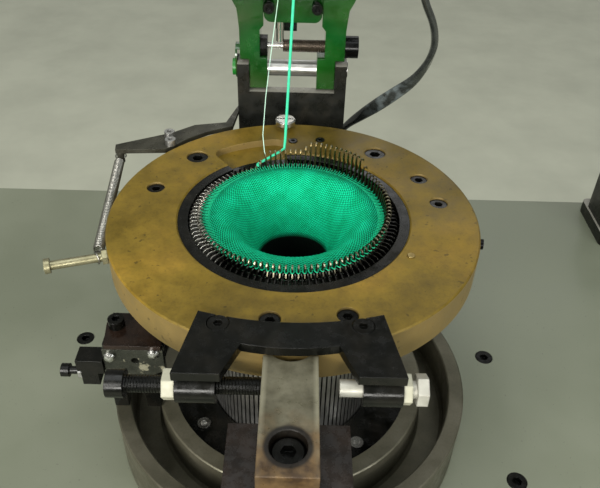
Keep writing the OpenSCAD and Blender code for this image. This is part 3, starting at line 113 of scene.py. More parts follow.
class Look:
    """A procedural material: its nodes are added one by one and feed one shader."""

    def __init__(self, name, roughness, metallic=0.0, **sockets):
        self.name = name
        self.material = bpy.data.materials.new(name)
        self.material.use_nodes = True
        self.tree = self.material.node_tree
        self.shader = self.tree.nodes["Principled BSDF"]
        self.shader.inputs["Roughness"].default_value = roughness
        self.shader.inputs["Metallic"].default_value = metallic
        for socket, value in sockets.items():
            self.shader.inputs[socket.replace("_", " ")].default_value = value
        self.coordinates = self.add("ShaderNodeTexCoord")
        self.colour = None
        self.relief = None

    def put(self, socket, value):
        """Links a node's output to the socket, or writes a plain value there."""
        if isinstance(value, bpy.types.NodeSocket):
            self.tree.links.new(value, socket)
        else:
            socket.default_value = value

    def add(self, kind, inputs=None, **settings):
        """A new node with its settings and inputs."""
        node = self.tree.nodes.new(kind)
        for setting, value in settings.items():
            setattr(node, setting, value)
        for socket, value in (inputs or {}).items():
            self.put(node.inputs[socket], value)
        return node

    def feed(self, socket, value):
        self.tree.links.new(value, self.shader.inputs[socket])

    def math(self, operation, *values):
        node = self.add("ShaderNodeMath", operation=operation)
        for socket, value in zip(node.inputs, values):
            self.put(socket, value)
        return node.outputs[0]

    def axis(self, letter, kind="Object"):
        split = self.add("ShaderNodeSeparateXYZ", {"Vector": self.coordinates.outputs[kind]})
        return split.outputs[letter]

    def where(self, letter):
        """A coordinate in millimetres from the centre of the cap's top face."""
        origin = CAP_TOP if letter == "Z" else 0.0
        return self.math("MULTIPLY_ADD", self.axis(letter), 1 / MM, -origin / MM)

    def distance(self, x, y):
        """Level distance in millimetres from an upright line at x, y."""
        dx = self.math("SUBTRACT", self.where("X"), x)
        dy = self.math("SUBTRACT", self.where("Y"), y)
        squares = self.math("ADD", self.math("MULTIPLY", dx, dx), self.math("MULTIPLY", dy, dy))
        return self.math("SQRT", squares)

    def noise(self, feature_mm, detail=4.0, roughness=0.55, stretch=(1, 1, 1)):
        """Noise whose blobs are about feature_mm across; stretch above 1 draws them out along an axis."""
        scale = [1 / (feature_mm * MM * s) for s in stretch]
        mapping = self.add("ShaderNodeMapping", {
            "Vector": self.coordinates.outputs["Object"], "Scale": scale})
        node = self.add("ShaderNodeTexNoise", {
            "Vector": mapping.outputs[0], "Scale": 1.0, "Detail": detail, "Roughness": roughness})
        return node.outputs["Fac"]

    def ramp(self, value, stops):
        """A colour ramp; each stop is a place from 0 to 1 and a grey or a colour."""
        node = self.add("ShaderNodeValToRGB", {"Fac": value})
        elements = node.color_ramp.elements
        while len(elements) < len(stops):
            elements.new(0.5)
        for element, (at, colour) in zip(elements, stops):
            element.position = at
            grey = isinstance(colour, (int, float))
            element.color = (colour, colour, colour, 1) if grey else (*colour, 1)
        return node.outputs["Color"]

    def levels(self, value, stops):
        """A ramp whose stops stand at measures of the value itself, rising or falling."""
        first = stops[0][0]
        span = stops[-1][0] - first
        share = self.math("MULTIPLY_ADD", value, 1 / span, -first / span)
        return self.ramp(share, [((at - first) / span, colour) for at, colour in stops])

    def mix(self, amount, first, second, blend="MIX"):
        """Mixes two colours, each a socket or three numbers."""
        node = self.add("ShaderNodeMix", data_type="RGBA", blend_type=blend)
        self.put(node.inputs[MIX_AMOUNT], amount)
        for index, colour in ((MIX_FIRST, first), (MIX_SECOND, second)):
            self.put(node.inputs[index], (*colour, 1) if isinstance(colour, tuple) else colour)
        return node.outputs[MIX_RESULT]

    def set_colour(self, colour):
        self.colour = colour
        self.feed("Base Color", colour)

    def tint(self, tone, amount=1.0):
        """Multiplies the colour by a tone."""
        self.set_colour(self.mix(amount, self.colour, tone, "MULTIPLY"))

    def cover(self, share, colour):
        """Covers a share of the colour with another one."""
        self.set_colour(self.mix(share, self.colour, colour))

    def bump(self, height, depth_mm):
        """Adds relief of about depth_mm on top of what is there."""
        node = self.add("ShaderNodeBump", {"Height": height, "Strength": 1.0, "Distance": depth_mm * MM})
        if self.relief is not None:
            self.tree.links.new(self.relief, node.inputs["Normal"])
        self.relief = node.outputs[0]
        self.feed("Normal", self.relief)

    def soften_edges(self, radius_mm):
        """Rounds the sharp edges for the light, and starts the chain of reliefs."""
        node = self.add("ShaderNodeBevel", {"Radius": radius_mm * MM}, samples=4)
        self.relief = node.outputs[0]
        self.feed("Normal", self.relief)


def spread(colours, low, high):
    """Ramp stops that share out the colours evenly from low to high."""
    step = (high - low) / (len(colours) - 1)
    return [(low + step * i, colour) for i, colour in enumerate(colours)]


def metal(name, colours, roughness, metallic=1.0, patch_mm=25, grain_mm=0.6, grain=0.01, edge=0.3,
          rough_swing=0.12, grain_stretch=(1, 1, 1), speckled=0.6):
    """Metal with patches of colour, dark speckles, a swing in roughness and a fine grain."""
    look = Look(name, roughness, metallic)
    look.soften_edges(edge)
    look.set_colour(look.ramp(look.noise(patch_mm), spread(colours, 0.34, 0.66)))
    speckles = look.ramp(look.noise(1.6, detail=6, roughness=0.7), [(0.36, 0.72), (0.5, 1.0)])
    look.tint(speckles, speckled)
    smear = look.noise(patch_mm * 0.4, detail=6, roughness=0.65)
    smoothest = max(0.03, roughness - rough_swing)
    look.feed("Roughness", look.ramp(smear, [(0.35, smoothest), (0.65, roughness + rough_swing)]))
    look.bump(look.noise(grain_mm, detail=3, roughness=0.6, stretch=grain_stretch), grain)
    return look


def paint(name, colours, roughness, patch_mm=40, peel_mm=2.5, peel=0.02, coat=0.0, edge=0.4):
    """Paint with faint patches, a swing in roughness and orange peel."""
    look = Look(name, roughness, Coat_Weight=coat, Coat_Roughness=0.12)
    look.soften_edges(edge)
    look.set_colour(look.ramp(look.noise(patch_mm, detail=5), spread(colours, 0.36, 0.64)))
    smear = look.noise(patch_mm * 0.5, detail=6, roughness=0.65)
    look.feed("Roughness", look.ramp(smear, [(0.35, roughness - 0.08), (0.65, roughness + 0.12)]))
    look.bump(look.noise(peel_mm, detail=2), peel)
    return look


def threaded(look, start, end, pitch, depth=0.2):
    """Adds the ridges of a screw thread between two places along X; the head beyond stays smooth."""
    x = look.where("X")
    ridges = look.math("SINE", look.math("MULTIPLY", x, 2 * math.pi / pitch))
    inside = look.math("MULTIPLY", look.math("GREATER_THAN", x, start), look.math("LESS_THAN", x, end))
    look.bump(look.math("MULTIPLY", ridges, inside), depth)
    return look


def left_highlight_share(look, most):
    """Share of the metal that gets a painted highlight at the left of the needle circle."""
    return look.levels(look.where("X"), [(-36, 0.0), (-45, most)])


# Materials


def cap_brass():
    """Oily brass: mottled and spotted, with painted light at the front left falling to painted shade at the
    rear right, and a painted highlight paling the upright rim.
    """
    look = metal("cap_brass", [(0.125, 0.083, 0.005), (0.178, 0.117, 0.009), (0.240, 0.148, 0.014)],
                 roughness=0.46, metallic=0.30, patch_mm=55, grain_mm=1.2, grain=0.006, edge=0.6,
                 rough_swing=0.10)
    look.tint(look.ramp(look.noise(11, detail=5, roughness=0.65), [(0.35, 0.70), (0.63, 1.13)]), amount=0.8)
    # painted light: lighter towards the front left, painted shade darker towards the rear right
    painted_light_diagonal = look.math("ADD", look.where("X"), look.where("Y"))
    look.tint(look.levels(painted_light_diagonal, [(-143, (1.12, 1.10, 1.06)), (143, (0.74, 0.73, 0.62))]))
    facing_up = look.math("ABSOLUTE", look.axis("Z", "Normal"))
    # painted highlight: upright faces get a paler brass tone
    look.cover(look.ramp(facing_up, [(0.3, 0.65), (0.7, 0.0)]), (0.22, 0.156, 0.062))
    look.tint(look.ramp(look.noise(3.2, detail=2, roughness=0.4), [(0.26, 0.35), (0.30, 1.0)]), amount=0.7)
    return look


def housing_iron():
    """Machined iron, a little darker on the outer wall."""
    look = metal("housing_iron", [(0.075, 0.070, 0.046), (0.105, 0.098, 0.066), (0.140, 0.130, 0.092)],
                 roughness=0.40, metallic=0.55, patch_mm=30, grain_mm=0.8, grain=0.01, edge=0.6)
    look.tint(look.levels(look.distance(0, 0), [(90, 1.05), (108.75, 0.85)]))
    return look


def black_oxide(name="black_oxide", roughness=0.22, tone=1.0):
    """Blackened steel with faint brown patches and little shine."""
    shades = [tuple(c * tone for c in colour) for colour in
              ((0.0018, 0.0020, 0.0017), (0.0032, 0.0033, 0.0026), (0.0070, 0.0064, 0.0048))]
    look = metal(name, shades, roughness, metallic=0.0, patch_mm=18, grain_mm=0.9, grain=0.012, edge=0.5)
    look.shader.inputs["Specular IOR Level"].default_value = 0.26
    return look


def steel(name, tone, roughness=0.22, warmth=0.04, speckled=0.6):
    """Bright steel in two close shades; warmth takes blue away."""
    shades = [(t, t * (1 - warmth * 0.2), t * (1 - warmth)) for t in (tone * 0.8, tone)]
    return metal(name, shades, roughness, metallic=1.0, patch_mm=12, grain_mm=0.5, grain=0.003, edge=0.15,
                 rough_swing=0.05, speckled=speckled)


def needle_steel():
    """Bright outer sides and hooks, brown oily backs, painted shade down in the tricks, a painted pale
    highlight on the left.
    """
    look = steel("needle_steel", tone=0.27, roughness=0.30, warmth=0.36)
    look.tint(look.levels(look.distance(0, 0), [(52.5, (0.46, 0.38, 0.26)), (53.1, (1, 1, 1))]))
    # painted pale highlight on the left of the circle
    look.cover(left_highlight_share(look, 0.8), (0.62, 0.60, 0.55))
    # painted shade: darker lower down in the tricks
    look.tint(look.levels(look.where("Z"), [(-6.25, 0.10), (5, 1.0)]))
    return look


def sinker_steel():
    """Oily blades, rubbed bright at their inner ends, with a painted highlight all along on the left."""
    look = steel("sinker_steel", tone=0.80, roughness=0.28, warmth=0.08)
    ends = look.levels(look.distance(0, 0), [(53.4, 0.42), (54.4, 0.045)])
    # painted highlight: the whole blade lighter on the left of the circle
    look.tint(look.mix(left_highlight_share(look, 1.0), ends, (1.1, 1.1, 1.1)))
    return look


RIM_PIN_FROM_X = 90


def pin_brass():
    """Brass dowel in the top face; the pin in the right rim is black."""
    look = metal("pin_brass", [(0.28, 0.20, 0.07), (0.42, 0.33, 0.14)],
                 roughness=0.30, metallic=0.9, patch_mm=5)
    look.cover(look.math("GREATER_THAN", look.where("X"), RIM_PIN_FROM_X), (0.006, 0.006, 0.006))
    return look


def cylinder_steel():
    """Ground ribs with the tricks between them painted black as shade."""
    look = steel("cylinder_steel", tone=0.58, roughness=0.38, warmth=0.06, speckled=0.15)
    # painted shade: the tricks near-black
    look.tint(look.levels(look.distance(0, 0), [(52.6, 0.02), (53.1, 1.0)]))
    return look


STOP_BAR_X = 0.4
STOP_SCREW_Y = -154.2
# The brown colour begins at the first of these lines and is full at the second
RUST_FROM_Y = -136.54
RUST_FULL_Y = -175
# How fast the dark smear round the screw fades
SMEAR_PER_MM = 0.06


def worn_steel():
    """Stop bar: painted highlights along its long edges, brown at the outer end, a dark smear round its
    screw and painted shade in the screw's recess.
    """
    look = metal("worn_steel", [(0.058, 0.052, 0.030), (0.102, 0.094, 0.060), (0.140, 0.130, 0.086)],
                 roughness=0.38, metallic=0.35, patch_mm=14, grain_mm=0.7, grain=0.010, edge=0.9,
                 grain_stretch=(1, 12, 1))
    # painted highlight along both long edges
    from_middle = look.math("ABSOLUTE", look.math("SUBTRACT", look.where("X"), STOP_BAR_X))
    look.cover(look.levels(from_middle, [(9.75, 0.0), (11.5, 0.7)]), (0.24, 0.225, 0.155))

    run = RUST_FULL_Y - RUST_FROM_Y
    outwards = look.math("MULTIPLY_ADD", look.where("Y"), 1 / run, -RUST_FROM_Y / run)
    ragged = look.math("MULTIPLY_ADD", look.noise(9, detail=5), 0.9, outwards)
    rust = look.ramp(look.noise(6, detail=5), [
        (0.38, (0.050, 0.025, 0.010)), (0.62, (0.150, 0.088, 0.034))])
    look.cover(look.ramp(ragged, [(0.45, 0.0), (1.0, 0.85)]), rust)

    from_screw = look.distance(STOP_BAR_X, STOP_SCREW_Y)
    fading = look.math("MULTIPLY", from_screw, SMEAR_PER_MM)
    smear = look.math("MULTIPLY_ADD", look.noise(5, detail=5), 0.5, fading)
    look.cover(look.ramp(smear, [(0.62, 0.85), (0.95, 0.0)]), (0.018, 0.014, 0.009))
    # painted shade: the screw's recess and a narrow ring round it near-black
    look.cover(look.levels(from_screw, [(9.4, 0.9), (10.6, 0.0)]), (0.006, 0.005, 0.004))
    return look


def bed_paint():
    """Grey green paint with fine dark specks."""
    look = paint("bed_paint", [(0.128, 0.140, 0.096), (0.160, 0.172, 0.121)], roughness=0.40, patch_mm=160,
                 peel_mm=3, peel=0.008)
    look.tint(look.ramp(look.noise(2.2, detail=2, roughness=0.5), [(0.25, 0.45), (0.29, 1.0)]), amount=0.6)
    return look


def head_green():
    """Glossy dark green enamel, wavy and faintly chipped."""
    look = paint("head_green", [(0.002, 0.033, 0.002), (0.005, 0.056, 0.004)], roughness=0.18, patch_mm=20,
                 peel_mm=5, peel=0.12, coat=0.9, edge=1.0)
    look.tint(look.ramp(look.noise(5, detail=4, roughness=0.6), [(0.26, 0.55), (0.32, 1.0)]), amount=0.5)
    return look


SHAFT_PAINTED_TO_X = -41.75


def shaft_chrome():
    """Bright hinge shaft whose left end got painted with the casting."""
    look = steel("shaft_chrome", tone=0.62, roughness=0.34, speckled=0.1)
    painted = look.math("LESS_THAN", look.where("X"), SHAFT_PAINTED_TO_X)
    look.cover(painted, (0.008, 0.15, 0.015))
    look.feed("Metallic", look.math("SUBTRACT", 1.0, painted))
    return look


# Half the width and half the height of one knitted arc, as shares of a stitch
ARC_HALF_WIDTH = 0.50
ARC_HALF_HEIGHT = 0.36


def knitted_arc(look, shift):
    """Height of one grid of arcs, shifted by a share of a stitch."""
    squares = []
    for letter, half in (("X", ARC_HALF_WIDTH), ("Y", ARC_HALF_HEIGHT)):
        within = look.math("FRACT", look.math("ADD", look.axis(letter, "UV"), shift))
        off = look.math("DIVIDE", look.math("SUBTRACT", within, 0.5), half)
        squares.append(look.math("MULTIPLY", off, off))
    far = look.math("ADD", *squares)
    return look.math("MAXIMUM", look.math("SUBTRACT", 1.0, far), 0.0)


def knitted(name="cloth_green", painted_shade_inside=False):
    """Plain knitting: rows of small arcs, each row shifted by half a stitch; painted shade darkens the gaps
    between the arcs, the flat rim and, if asked, the inside lower down.
    """
    look = Look(name, roughness=0.70, Specular_IOR_Level=0.08)
    height = look.math("MAXIMUM", knitted_arc(look, 0.0), knitted_arc(look, 0.5))
    look.set_colour(look.ramp(look.noise(9), [(0.35, (0.002, 0.51, 0.23)), (0.65, (0.005, 0.68, 0.34))]))
    # painted shade: the gaps between the arcs darken nearly to black
    look.tint(look.ramp(height, [
        (0.0, (0.01, 0.04, 0.035)), (0.35, (0.28, 0.33, 0.32)), (0.80, (1, 1, 1))]))
    # painted shade: darker towards the flat rim near the needles
    look.tint(look.levels(look.distance(0, 0), [(40, 1.0), (46, 0.60)]))
    if painted_shade_inside:
        # painted shade inside the tube: near-black below about 32 mm down
        look.tint(look.levels(look.where("Z"), [(-32.25, 0.008), (-28.75, 1.0)]))
    look.bump(height, depth_mm=0.5)
    look.bump(look.noise(0.25, detail=2), depth_mm=0.05)
    return look


def yarn(name, colour):
    """Matt yarn, a little darker in between its fibres."""
    look = Look(name, roughness=0.60, Specular_IOR_Level=0.2)
    fibres = look.noise(1.0, detail=3, roughness=0.5, stretch=(1, 1, 3))
    look.set_colour(look.ramp(fibres, [(0.3, tuple(c * 0.75 for c in colour)), (0.7, colour)]))
    look.bump(look.noise(0.4, detail=2), depth_mm=0.05)
    return look


def cable_rubber():
    """Black rubber with grey patches of painted highlight where the cable is twisted flat."""
    look = paint("cable_rubber", [(0.014, 0.016, 0.014), (0.028, 0.031, 0.028)],
                 roughness=0.22, patch_mm=10, peel_mm=3, peel=0.05, coat=0.8)
    twisted = look.levels(look.where("Z"), [(-22.5, 0.0), (-12.5, 0.8), (5, 0.8), (15, 0.0)])
    patches = look.ramp(look.noise(6, detail=2, roughness=0.4), [(0.40, 0.0), (0.66, 1.0)])
    # painted highlight: grey patches on the twisted flat stretch
    look.cover(look.math("MULTIPLY", twisted, patches), (0.11, 0.13, 0.13))
    return look


def clevis_black():
    """Black bracket whose faces that look up are paler grey: partly wear, partly painted highlight."""
    look = black_oxide("clevis_black", roughness=0.32, tone=2.6)
    # faces that look up are paler grey, partly wear and partly painted highlight
    look.cover(look.ramp(look.axis("Z", "Normal"), [(0.90, 0.0), (0.97, 0.8)]), (0.25, 0.24, 0.20))
    return look


CROSS_HEAD_X = 31
CROSS_THREAD_X = -10
CROSS_NOSE_X = -10.5


def cross_steel():
    """Cross screw: black head, brown threaded rod, bright nose."""
    look = metal("cross_steel", [(0.060, 0.046, 0.034), (0.120, 0.094, 0.070)],
                 roughness=0.26, metallic=0.8, patch_mm=10)
    threaded(look, start=CROSS_THREAD_X, end=CROSS_HEAD_X, pitch=1.5)
    look.cover(look.math("LESS_THAN", look.where("X"), CROSS_NOSE_X), (0.55, 0.54, 0.50))
    look.cover(look.math("GREATER_THAN", look.where("X"), CROSS_HEAD_X), (0.008, 0.008, 0.008))
    return look


def face_plate_steel():
    """Grey plate with a few worn cream patches."""
    look = metal("face_plate_steel", [(0.022, 0.024, 0.018), (0.046, 0.048, 0.036)],
                 roughness=0.28, metallic=0.5, patch_mm=9)
    worn = look.ramp(look.noise(7, roughness=0.6), [(0.60, 0.0), (0.66, 0.8)])
    look.cover(worn, (0.36, 0.34, 0.24))
    return look


def make_materials():
    """All materials by name."""
    looks = [
        bed_paint(),
        housing_iron(),
        worn_steel(),
        cylinder_steel(),
        cap_brass(),
        clevis_black(),
        head_green(),
        cable_rubber(),
        cross_steel(),
        shaft_chrome(),
        needle_steel(),
        sinker_steel(),
        pin_brass(),
        face_plate_steel(),
        knitted(),
        # the cloth's inner side, with painted shade lower down
        knitted("cloth_inside", painted_shade_inside=True),
        black_oxide(),
        black_oxide("screw_black", roughness=0.24, tone=0.8),
        threaded(black_oxide("bolt_black", roughness=0.26), start=-73, end=-12, pitch=1.25),
        steel("steel", tone=0.62),
        steel("gear_steel", tone=0.30, roughness=0.38),
        steel("zinc", tone=0.52, roughness=0.42, speckled=0.2),
        steel("chrome", tone=0.70, roughness=0.22, speckled=0.1),
        steel("spring_steel", tone=0.31, roughness=0.32, warmth=0.10, speckled=0.2),
        yarn("yarn_green", (0.055, 0.60, 0.33)),
        # the loops' yarn: the main yarn's colour in a darker copy, as painted shade
        yarn("loop_green_shaded", (0.006, 0.42, 0.20)),
        yarn("yarn_pale", (0.50, 0.72, 0.58)),
        paint("stand_paint", [(0.045, 0.056, 0.046), (0.060, 0.073, 0.060)], roughness=0.40),
        paint("motor_grey", [(0.09, 0.10, 0.10), (0.12, 0.13, 0.13)], roughness=0.42),
        paint("box_plastic", [(0.02, 0.02, 0.022), (0.03, 0.03, 0.03)],
              roughness=0.45, peel_mm=0.8, peel=0.03),
        paint("eyelet_ceramic", [(0.75, 0.74, 0.70), (0.82, 0.81, 0.78)], roughness=0.15, coat=0.5),
        metal("bearing_bronze", [(0.30, 0.22, 0.09), (0.48, 0.38, 0.18)], roughness=0.32, patch_mm=8),
        metal("nut_cream", [(0.30, 0.29, 0.21), (0.38, 0.37, 0.28)],
              roughness=0.50, metallic=0.0, patch_mm=9, edge=1.2, speckled=0.15),
        metal("bolt_pale", [(0.34, 0.33, 0.28), (0.46, 0.45, 0.39)],
              roughness=0.40, metallic=0.35, patch_mm=8, edge=1.0, speckled=0.15),
        metal("stud_pale", [(0.19, 0.175, 0.100), (0.30, 0.28, 0.175)],
              roughness=0.36, metallic=0.7, patch_mm=6, edge=0.6, speckled=0.2),
        metal("block_brown", [(0.007, 0.005, 0.004), (0.016, 0.010, 0.007)],
              roughness=0.28, metallic=0.0, patch_mm=12),
        metal("plate_brown", [(0.013, 0.008, 0.006), (0.030, 0.017, 0.011)],
              roughness=0.20, metallic=0.3, patch_mm=10),
        metal("arm_steel", [(0.022, 0.021, 0.014), (0.056, 0.053, 0.038)],
              roughness=0.34, metallic=0.4, patch_mm=14),
    ]
    return {look.name: look.material for look in looks}


# Nodes whose look differs from that of their material slot
OWN_LOOK = {
    "left_stop_bolt": "bolt_black",
    "right_stop_bolt": "bolt_pale",
    "cross_screw": "cross_steel",
    "stop_block": "block_brown",
    "spring_stud": "stud_pale",
    "lever_face_plate": "face_plate_steel",
    "lever_top_plate": "plate_brown",
    "hinge_shaft": "shaft_chrome",
    "needles": "needle_steel",
    "sinkers": "sinker_steel",
    "cap_pins": "pin_brass",
    "spring_arm": "arm_steel",
}


def dress_nodes(materials):
    """Gives every solid of the frame its finished material."""
    slots = {entry["node"]: entry["material_slot"] for entry in frame["record"]["subparts"]}
    for name, thing in frame["nodes"].items():
        look = materials[OWN_LOOK.get(name, slots[name])]
        thing.data.materials.clear()
        thing.data.materials.append(look)


# Mesh helpers


def mesh_object(name, vertices, faces, material, smooth=True):
    mesh = bpy.data.meshes.new(name)
    mesh.from_pydata([tuple(v) for v in vertices], [], faces)
    mesh.materials.append(material)
    mesh.polygons.foreach_set("use_smooth", [smooth] * len(faces))
    mesh.update()
    thing = bpy.data.objects.new(name, mesh)
    bpy.context.scene.collection.objects.link(thing)
    return thing


def heading(path, i):
    """Direction of a path at its point i."""
    return (path[min(i + 1, len(path) - 1)] - path[max(i - 1, 0)]).normalized()


def round_rings(path, radius, sides):
    """Circles of points square to the path, turned as little as possible from one to the next."""
    rings = []
    side = heading(path, 0).orthogonal().normalized()
    for i, point in enumerate(path):
        ahead = heading(path, i)
        side = (side - ahead * side.dot(ahead)).normalized()
        up = ahead.cross(side)
        rings.append([point + (side * math.cos(a) + up * math.sin(a)) * radius for a in turns(sides)])
    return rings


def closed_tubes(tubes):
    """Vertices and faces of tubes with flat ends, each given as its list of rings."""
    vertices = []
    faces = []
    for rings in tubes:
        sides = len(rings[0])
        start = len(vertices)
        last = start + (len(rings) - 1) * sides
        for ring in rings:
            vertices += ring
        for base in range(start, last, sides):
            for k in range(sides):
                a = base + k
                b = base + (k + 1) % sides
                faces.append((a, b, b + sides, a + sides))
        faces.append(tuple(start + k for k in reversed(range(sides))))
        faces.append(tuple(last + k for k in range(sides)))
    return vertices, faces


def smooth_path(points, per_span):
    """Catmull-Rom curve through the points."""
    out = []
    n = len(points)
    for i in range(n - 1):
        p0 = points[max(i - 1, 0)]
        p1 = points[i]
        p2 = points[i + 1]
        p3 = points[min(i + 2, n - 1)]
        for k in range(per_span):
            t = k / per_span
            out.append(0.5 * (2 * p1 + (p2 - p0) * t + (2 * p0 - 5 * p1 + 4 * p2 - p3) * t * t
                              + (3 * p1 - p0 - 3 * p2 + p3) * t * t * t))
    out.append(points[-1].copy())
    return out


# Cloth

# Radius and height of the middle of the cloth, from the rim at the needles down the funnel and the tube
FABRIC_PROFILE = [
    (50.5, -1.3), (47, 0.2), (43.5, 0.6), (40, -0.4), (37, -2.6), (34, -6), (31, -10.6),
    (28, -15.8), (25, -21.2), (22.4, -26.5), (20.8, -31), (20.2, -36), (20, -44), (20, -380)]
FABRIC_THICKNESS = 1.1
# Height of one row of stitches
COURSE = 1.3
# Distance between two rows of points: at least so much in the funnel, and about so much down the tube
LEAST_STEP = COURSE * 0.45
STRAIGHT_STEP = 4
PROFILE_STEPS = 12
POINTS_PER_STITCH = 4
COLUMNS = NEEDLES * POINTS_PER_STITCH
# Each column of stitches stands out as a rib down to this height
RIBS_DOWN_TO = -60
RIB_DEPTH = 0.10
# Slow waves round the funnel, which drift with the length run and start flat at the rim
WAVE_COUNT = 3
WAVE_DEPTH = 0.35
WAVE_DRIFT = 0.13
WAVE_FULL_AFTER = 25


def fabric_line():
    """Points (radius, height) down the middle of the cloth, with the length run so far."""
    profile = [Vector((r, z, 0)) for r, z in FABRIC_PROFILE]
    line = []
    for point in smooth_path(profile[:-1], PROFILE_STEPS):
        if not line or (point - line[-1]).length > LEAST_STEP:
            line.append(point)
    straight = profile[-1] - line[-1]
    steps = int(straight.length / STRAIGHT_STEP)
    line += [line[-1] + straight * ((i + 1) / steps) for i in range(steps)]
    runs = [0.0]
    for a, b in zip(line, line[1:]):
        runs.append(runs[-1] + (b - a).length)
    return line, runs


def fabric_points(line, runs):
    """The cloth's two sides, the inner one first, and each point's place in stitches."""
    vertices = []
    stitches = []
    for face_side in (1, -1):
        for i, point in enumerate(line):
            along = heading(line, i)
            out = Vector((along.y, -along.x, 0)) * face_side
            middle = point + out * FABRIC_THICKNESS / 2
            rib_depth = RIB_DEPTH if point.y > RIBS_DOWN_TO else 0.0
            wave_depth = WAVE_DEPTH * min(1, runs[i] / WAVE_FULL_AFTER)
            for k, angle in enumerate(turns(COLUMNS)):
                rib = rib_depth * math.cos(angle * NEEDLES)
                wave = wave_depth * math.sin(WAVE_COUNT * angle + WAVE_DRIFT * runs[i])
                vertices.append(place_round(angle, middle.x + out.x * rib + wave, middle.y + out.y * rib))
                stitches.append((k / POINTS_PER_STITCH, runs[i] / COURSE))
    return vertices, stitches


def fabric_faces(rows):
    """Faces of the inner side, the outer side and the strips that join them at both ends."""
    faces = []
    outer = rows * COLUMNS
    for base in (0, outer):
        for i in range(rows - 1):
            for k in range(COLUMNS):
                a = base + i * COLUMNS + k
                b = base + i * COLUMNS + (k + 1) % COLUMNS
                quad = (a, a + COLUMNS, b + COLUMNS, b)
                faces.append(quad if base == 0 else tuple(reversed(quad)))
    for i in (0, rows - 1):
        for k in range(COLUMNS):
            a = i * COLUMNS + k
            b = i * COLUMNS + (k + 1) % COLUMNS
            quad = (a, b, b + outer, a + outer)
            faces.append(quad if i == 0 else tuple(reversed(quad)))
    return faces


def mark_stitches(cloth, stitches):
    """Lays the grid of stitches on the cloth, also across the column where it closes."""
    layer = cloth.data.uv_layers.new(name="stitches")
    for polygon in cloth.data.polygons:
        columns = [stitches[v][0] for v in polygon.vertices]
        closing = max(columns) - min(columns) > 2
        for loop in polygon.loop_indices:
            u, v = stitches[cloth.data.loops[loop].vertex_index]
            layer.data[loop].uv = (u + NEEDLES if closing and u < 1 else u, v)


def make_fabric(materials):
    line, runs = fabric_line()
    vertices, stitches = fabric_points(line, runs)
    cloth = mesh_object("knitted_cloth", vertices, fabric_faces(len(line)), materials["cloth_green"])
    cloth.data.materials.append(materials["cloth_inside"])
    # the inner side takes the material with painted shade lower down
    inner_faces = (len(line) - 1) * COLUMNS
    for polygon in cloth.data.polygons[:inner_faces]:
        polygon.material_index = 1
    mark_stitches(cloth, stitches)
    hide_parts("fabric_tube")
    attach(cloth, "cylinder")


# One half of a loop as radius, sideways and height; the other half mirrors it past the needle's stem
STITCH_HALF = [(47.6, -0.55, 0.5), (49.6, -0.85, 0.35), (51.6, -0.85, 0.25), (52.9, -0.5, 0.35)]
STITCH_MIDDLE = (53.2, 0.0, 0.45)
STITCH_YARN_R = 0.28
WIRE_SIDES = 6


def make_stitch_loops(materials):
    """The last row of loops, each round the stem of its needle."""
    outline = STITCH_HALF + [STITCH_MIDDLE] + [(r, -side, z) for r, side, z in reversed(STITCH_HALF)]
    tubes = []
    for turn in turns(NEEDLES):
        path = [place_round(turn, r, z, side) for r, side, z in outline]
        tubes.append(round_rings(path, STITCH_YARN_R * MM, WIRE_SIDES))
    vertices, faces = closed_tubes(tubes)
    loops = mesh_object("stitch_loops", vertices, faces, materials["loop_green_shaded"])
    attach(loops, "cylinder")


# Cords

MAIN_YARN = [
    (2.4, 87, 192), (2.4, 87, 187.5), (0.8, 82.5, 165), (-1, 77, 130), (-3.2, 70, 97),
    (-4.4, 65.2, 68), (-5.4, 61.6, 45), (-6.2, 58.9, 27), (-6.7, 57.4, 15), (-7.2, 56.8, 9),
    (-9.8, 56, 7), (-13.6, 54.8, 5.2), (-17.3, 53.5, 3.4), (-20.5, 52.2, 2), (-22.3, 51.4, 1.3),
    (-23.3, 50.5, 1), (-23.7, 49.3, 0.95), (-23.5, 48.3, 0.9)]
FINE_YARN = [
    (-9, 81.9, 192), (-9, 81.9, 187.5), (-10.2, 79.4, 140), (-12.2, 76, 94), (-15.7, 70, 67.6),
    (-19, 64.5, 40), (-20.7, 58.5, 17), (-19.4, 51.4, 9.3), (-18.9, 49.9, 8.85)]
MAIN_YARN_WIDTH = 1.7
FINE_YARN_WIDTH = 0.5


def make_yarn(name, route, width, slot, materials):
    """A taut yarn from its eyelet down into a hook."""
    points = [place(*p) for p in route]
    curve = bpy.data.curves.new(name, "CURVE")
    curve.dimensions = "3D"
    curve.bevel_depth = width / 2 * MM
    curve.bevel_resolution = 3
    curve.use_fill_caps = True
    curve.materials.append(materials[slot])
    line = curve.splines.new("POLY")
    line.points.add(len(points) - 1)
    for target, point in zip(line.points, points):
        target.co = (*point, 1)
    strand = bpy.data.objects.new(name + "_strand", curve)
    bpy.context.scene.collection.objects.link(strand)
    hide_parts(name)
    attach(strand, "machine")


CABLE = [
    (62, 114, 182.8), (62, 114.5, 168), (63, 117, 154), (65, 121, 138), (69, 125, 120),
    (75, 128, 98), (82, 131, 78), (89, 134, 64), (93, 138, 52), (94, 142, 40),
    (91, 147, 26), (84, 152, 12), (73, 156, 0), (61, 160, -12), (50, 166, -24),
    (40, 173, -37), (33, 176, -50), (30, 172.5, -63), (29.75, 166, -71), (29.75, 159.3, -73)]
CABLE_STEPS = 5
CABLE_SIDES = 16
CABLE_WIDTH = 5.2
CABLE_FLAT_WIDTH = 10.5
CABLE_THICKNESS = 5.2
# How much thinner the flat stretch is between its two edges
CABLE_WAIST = 0.35
# Middle and half length of the flat stretch as shares of the length, and the twist in radians per length
FLAT_AT = 0.63
FLAT_SHARE = 0.17
TWIST = 7
REARWARDS = Vector((0, 1, 0))


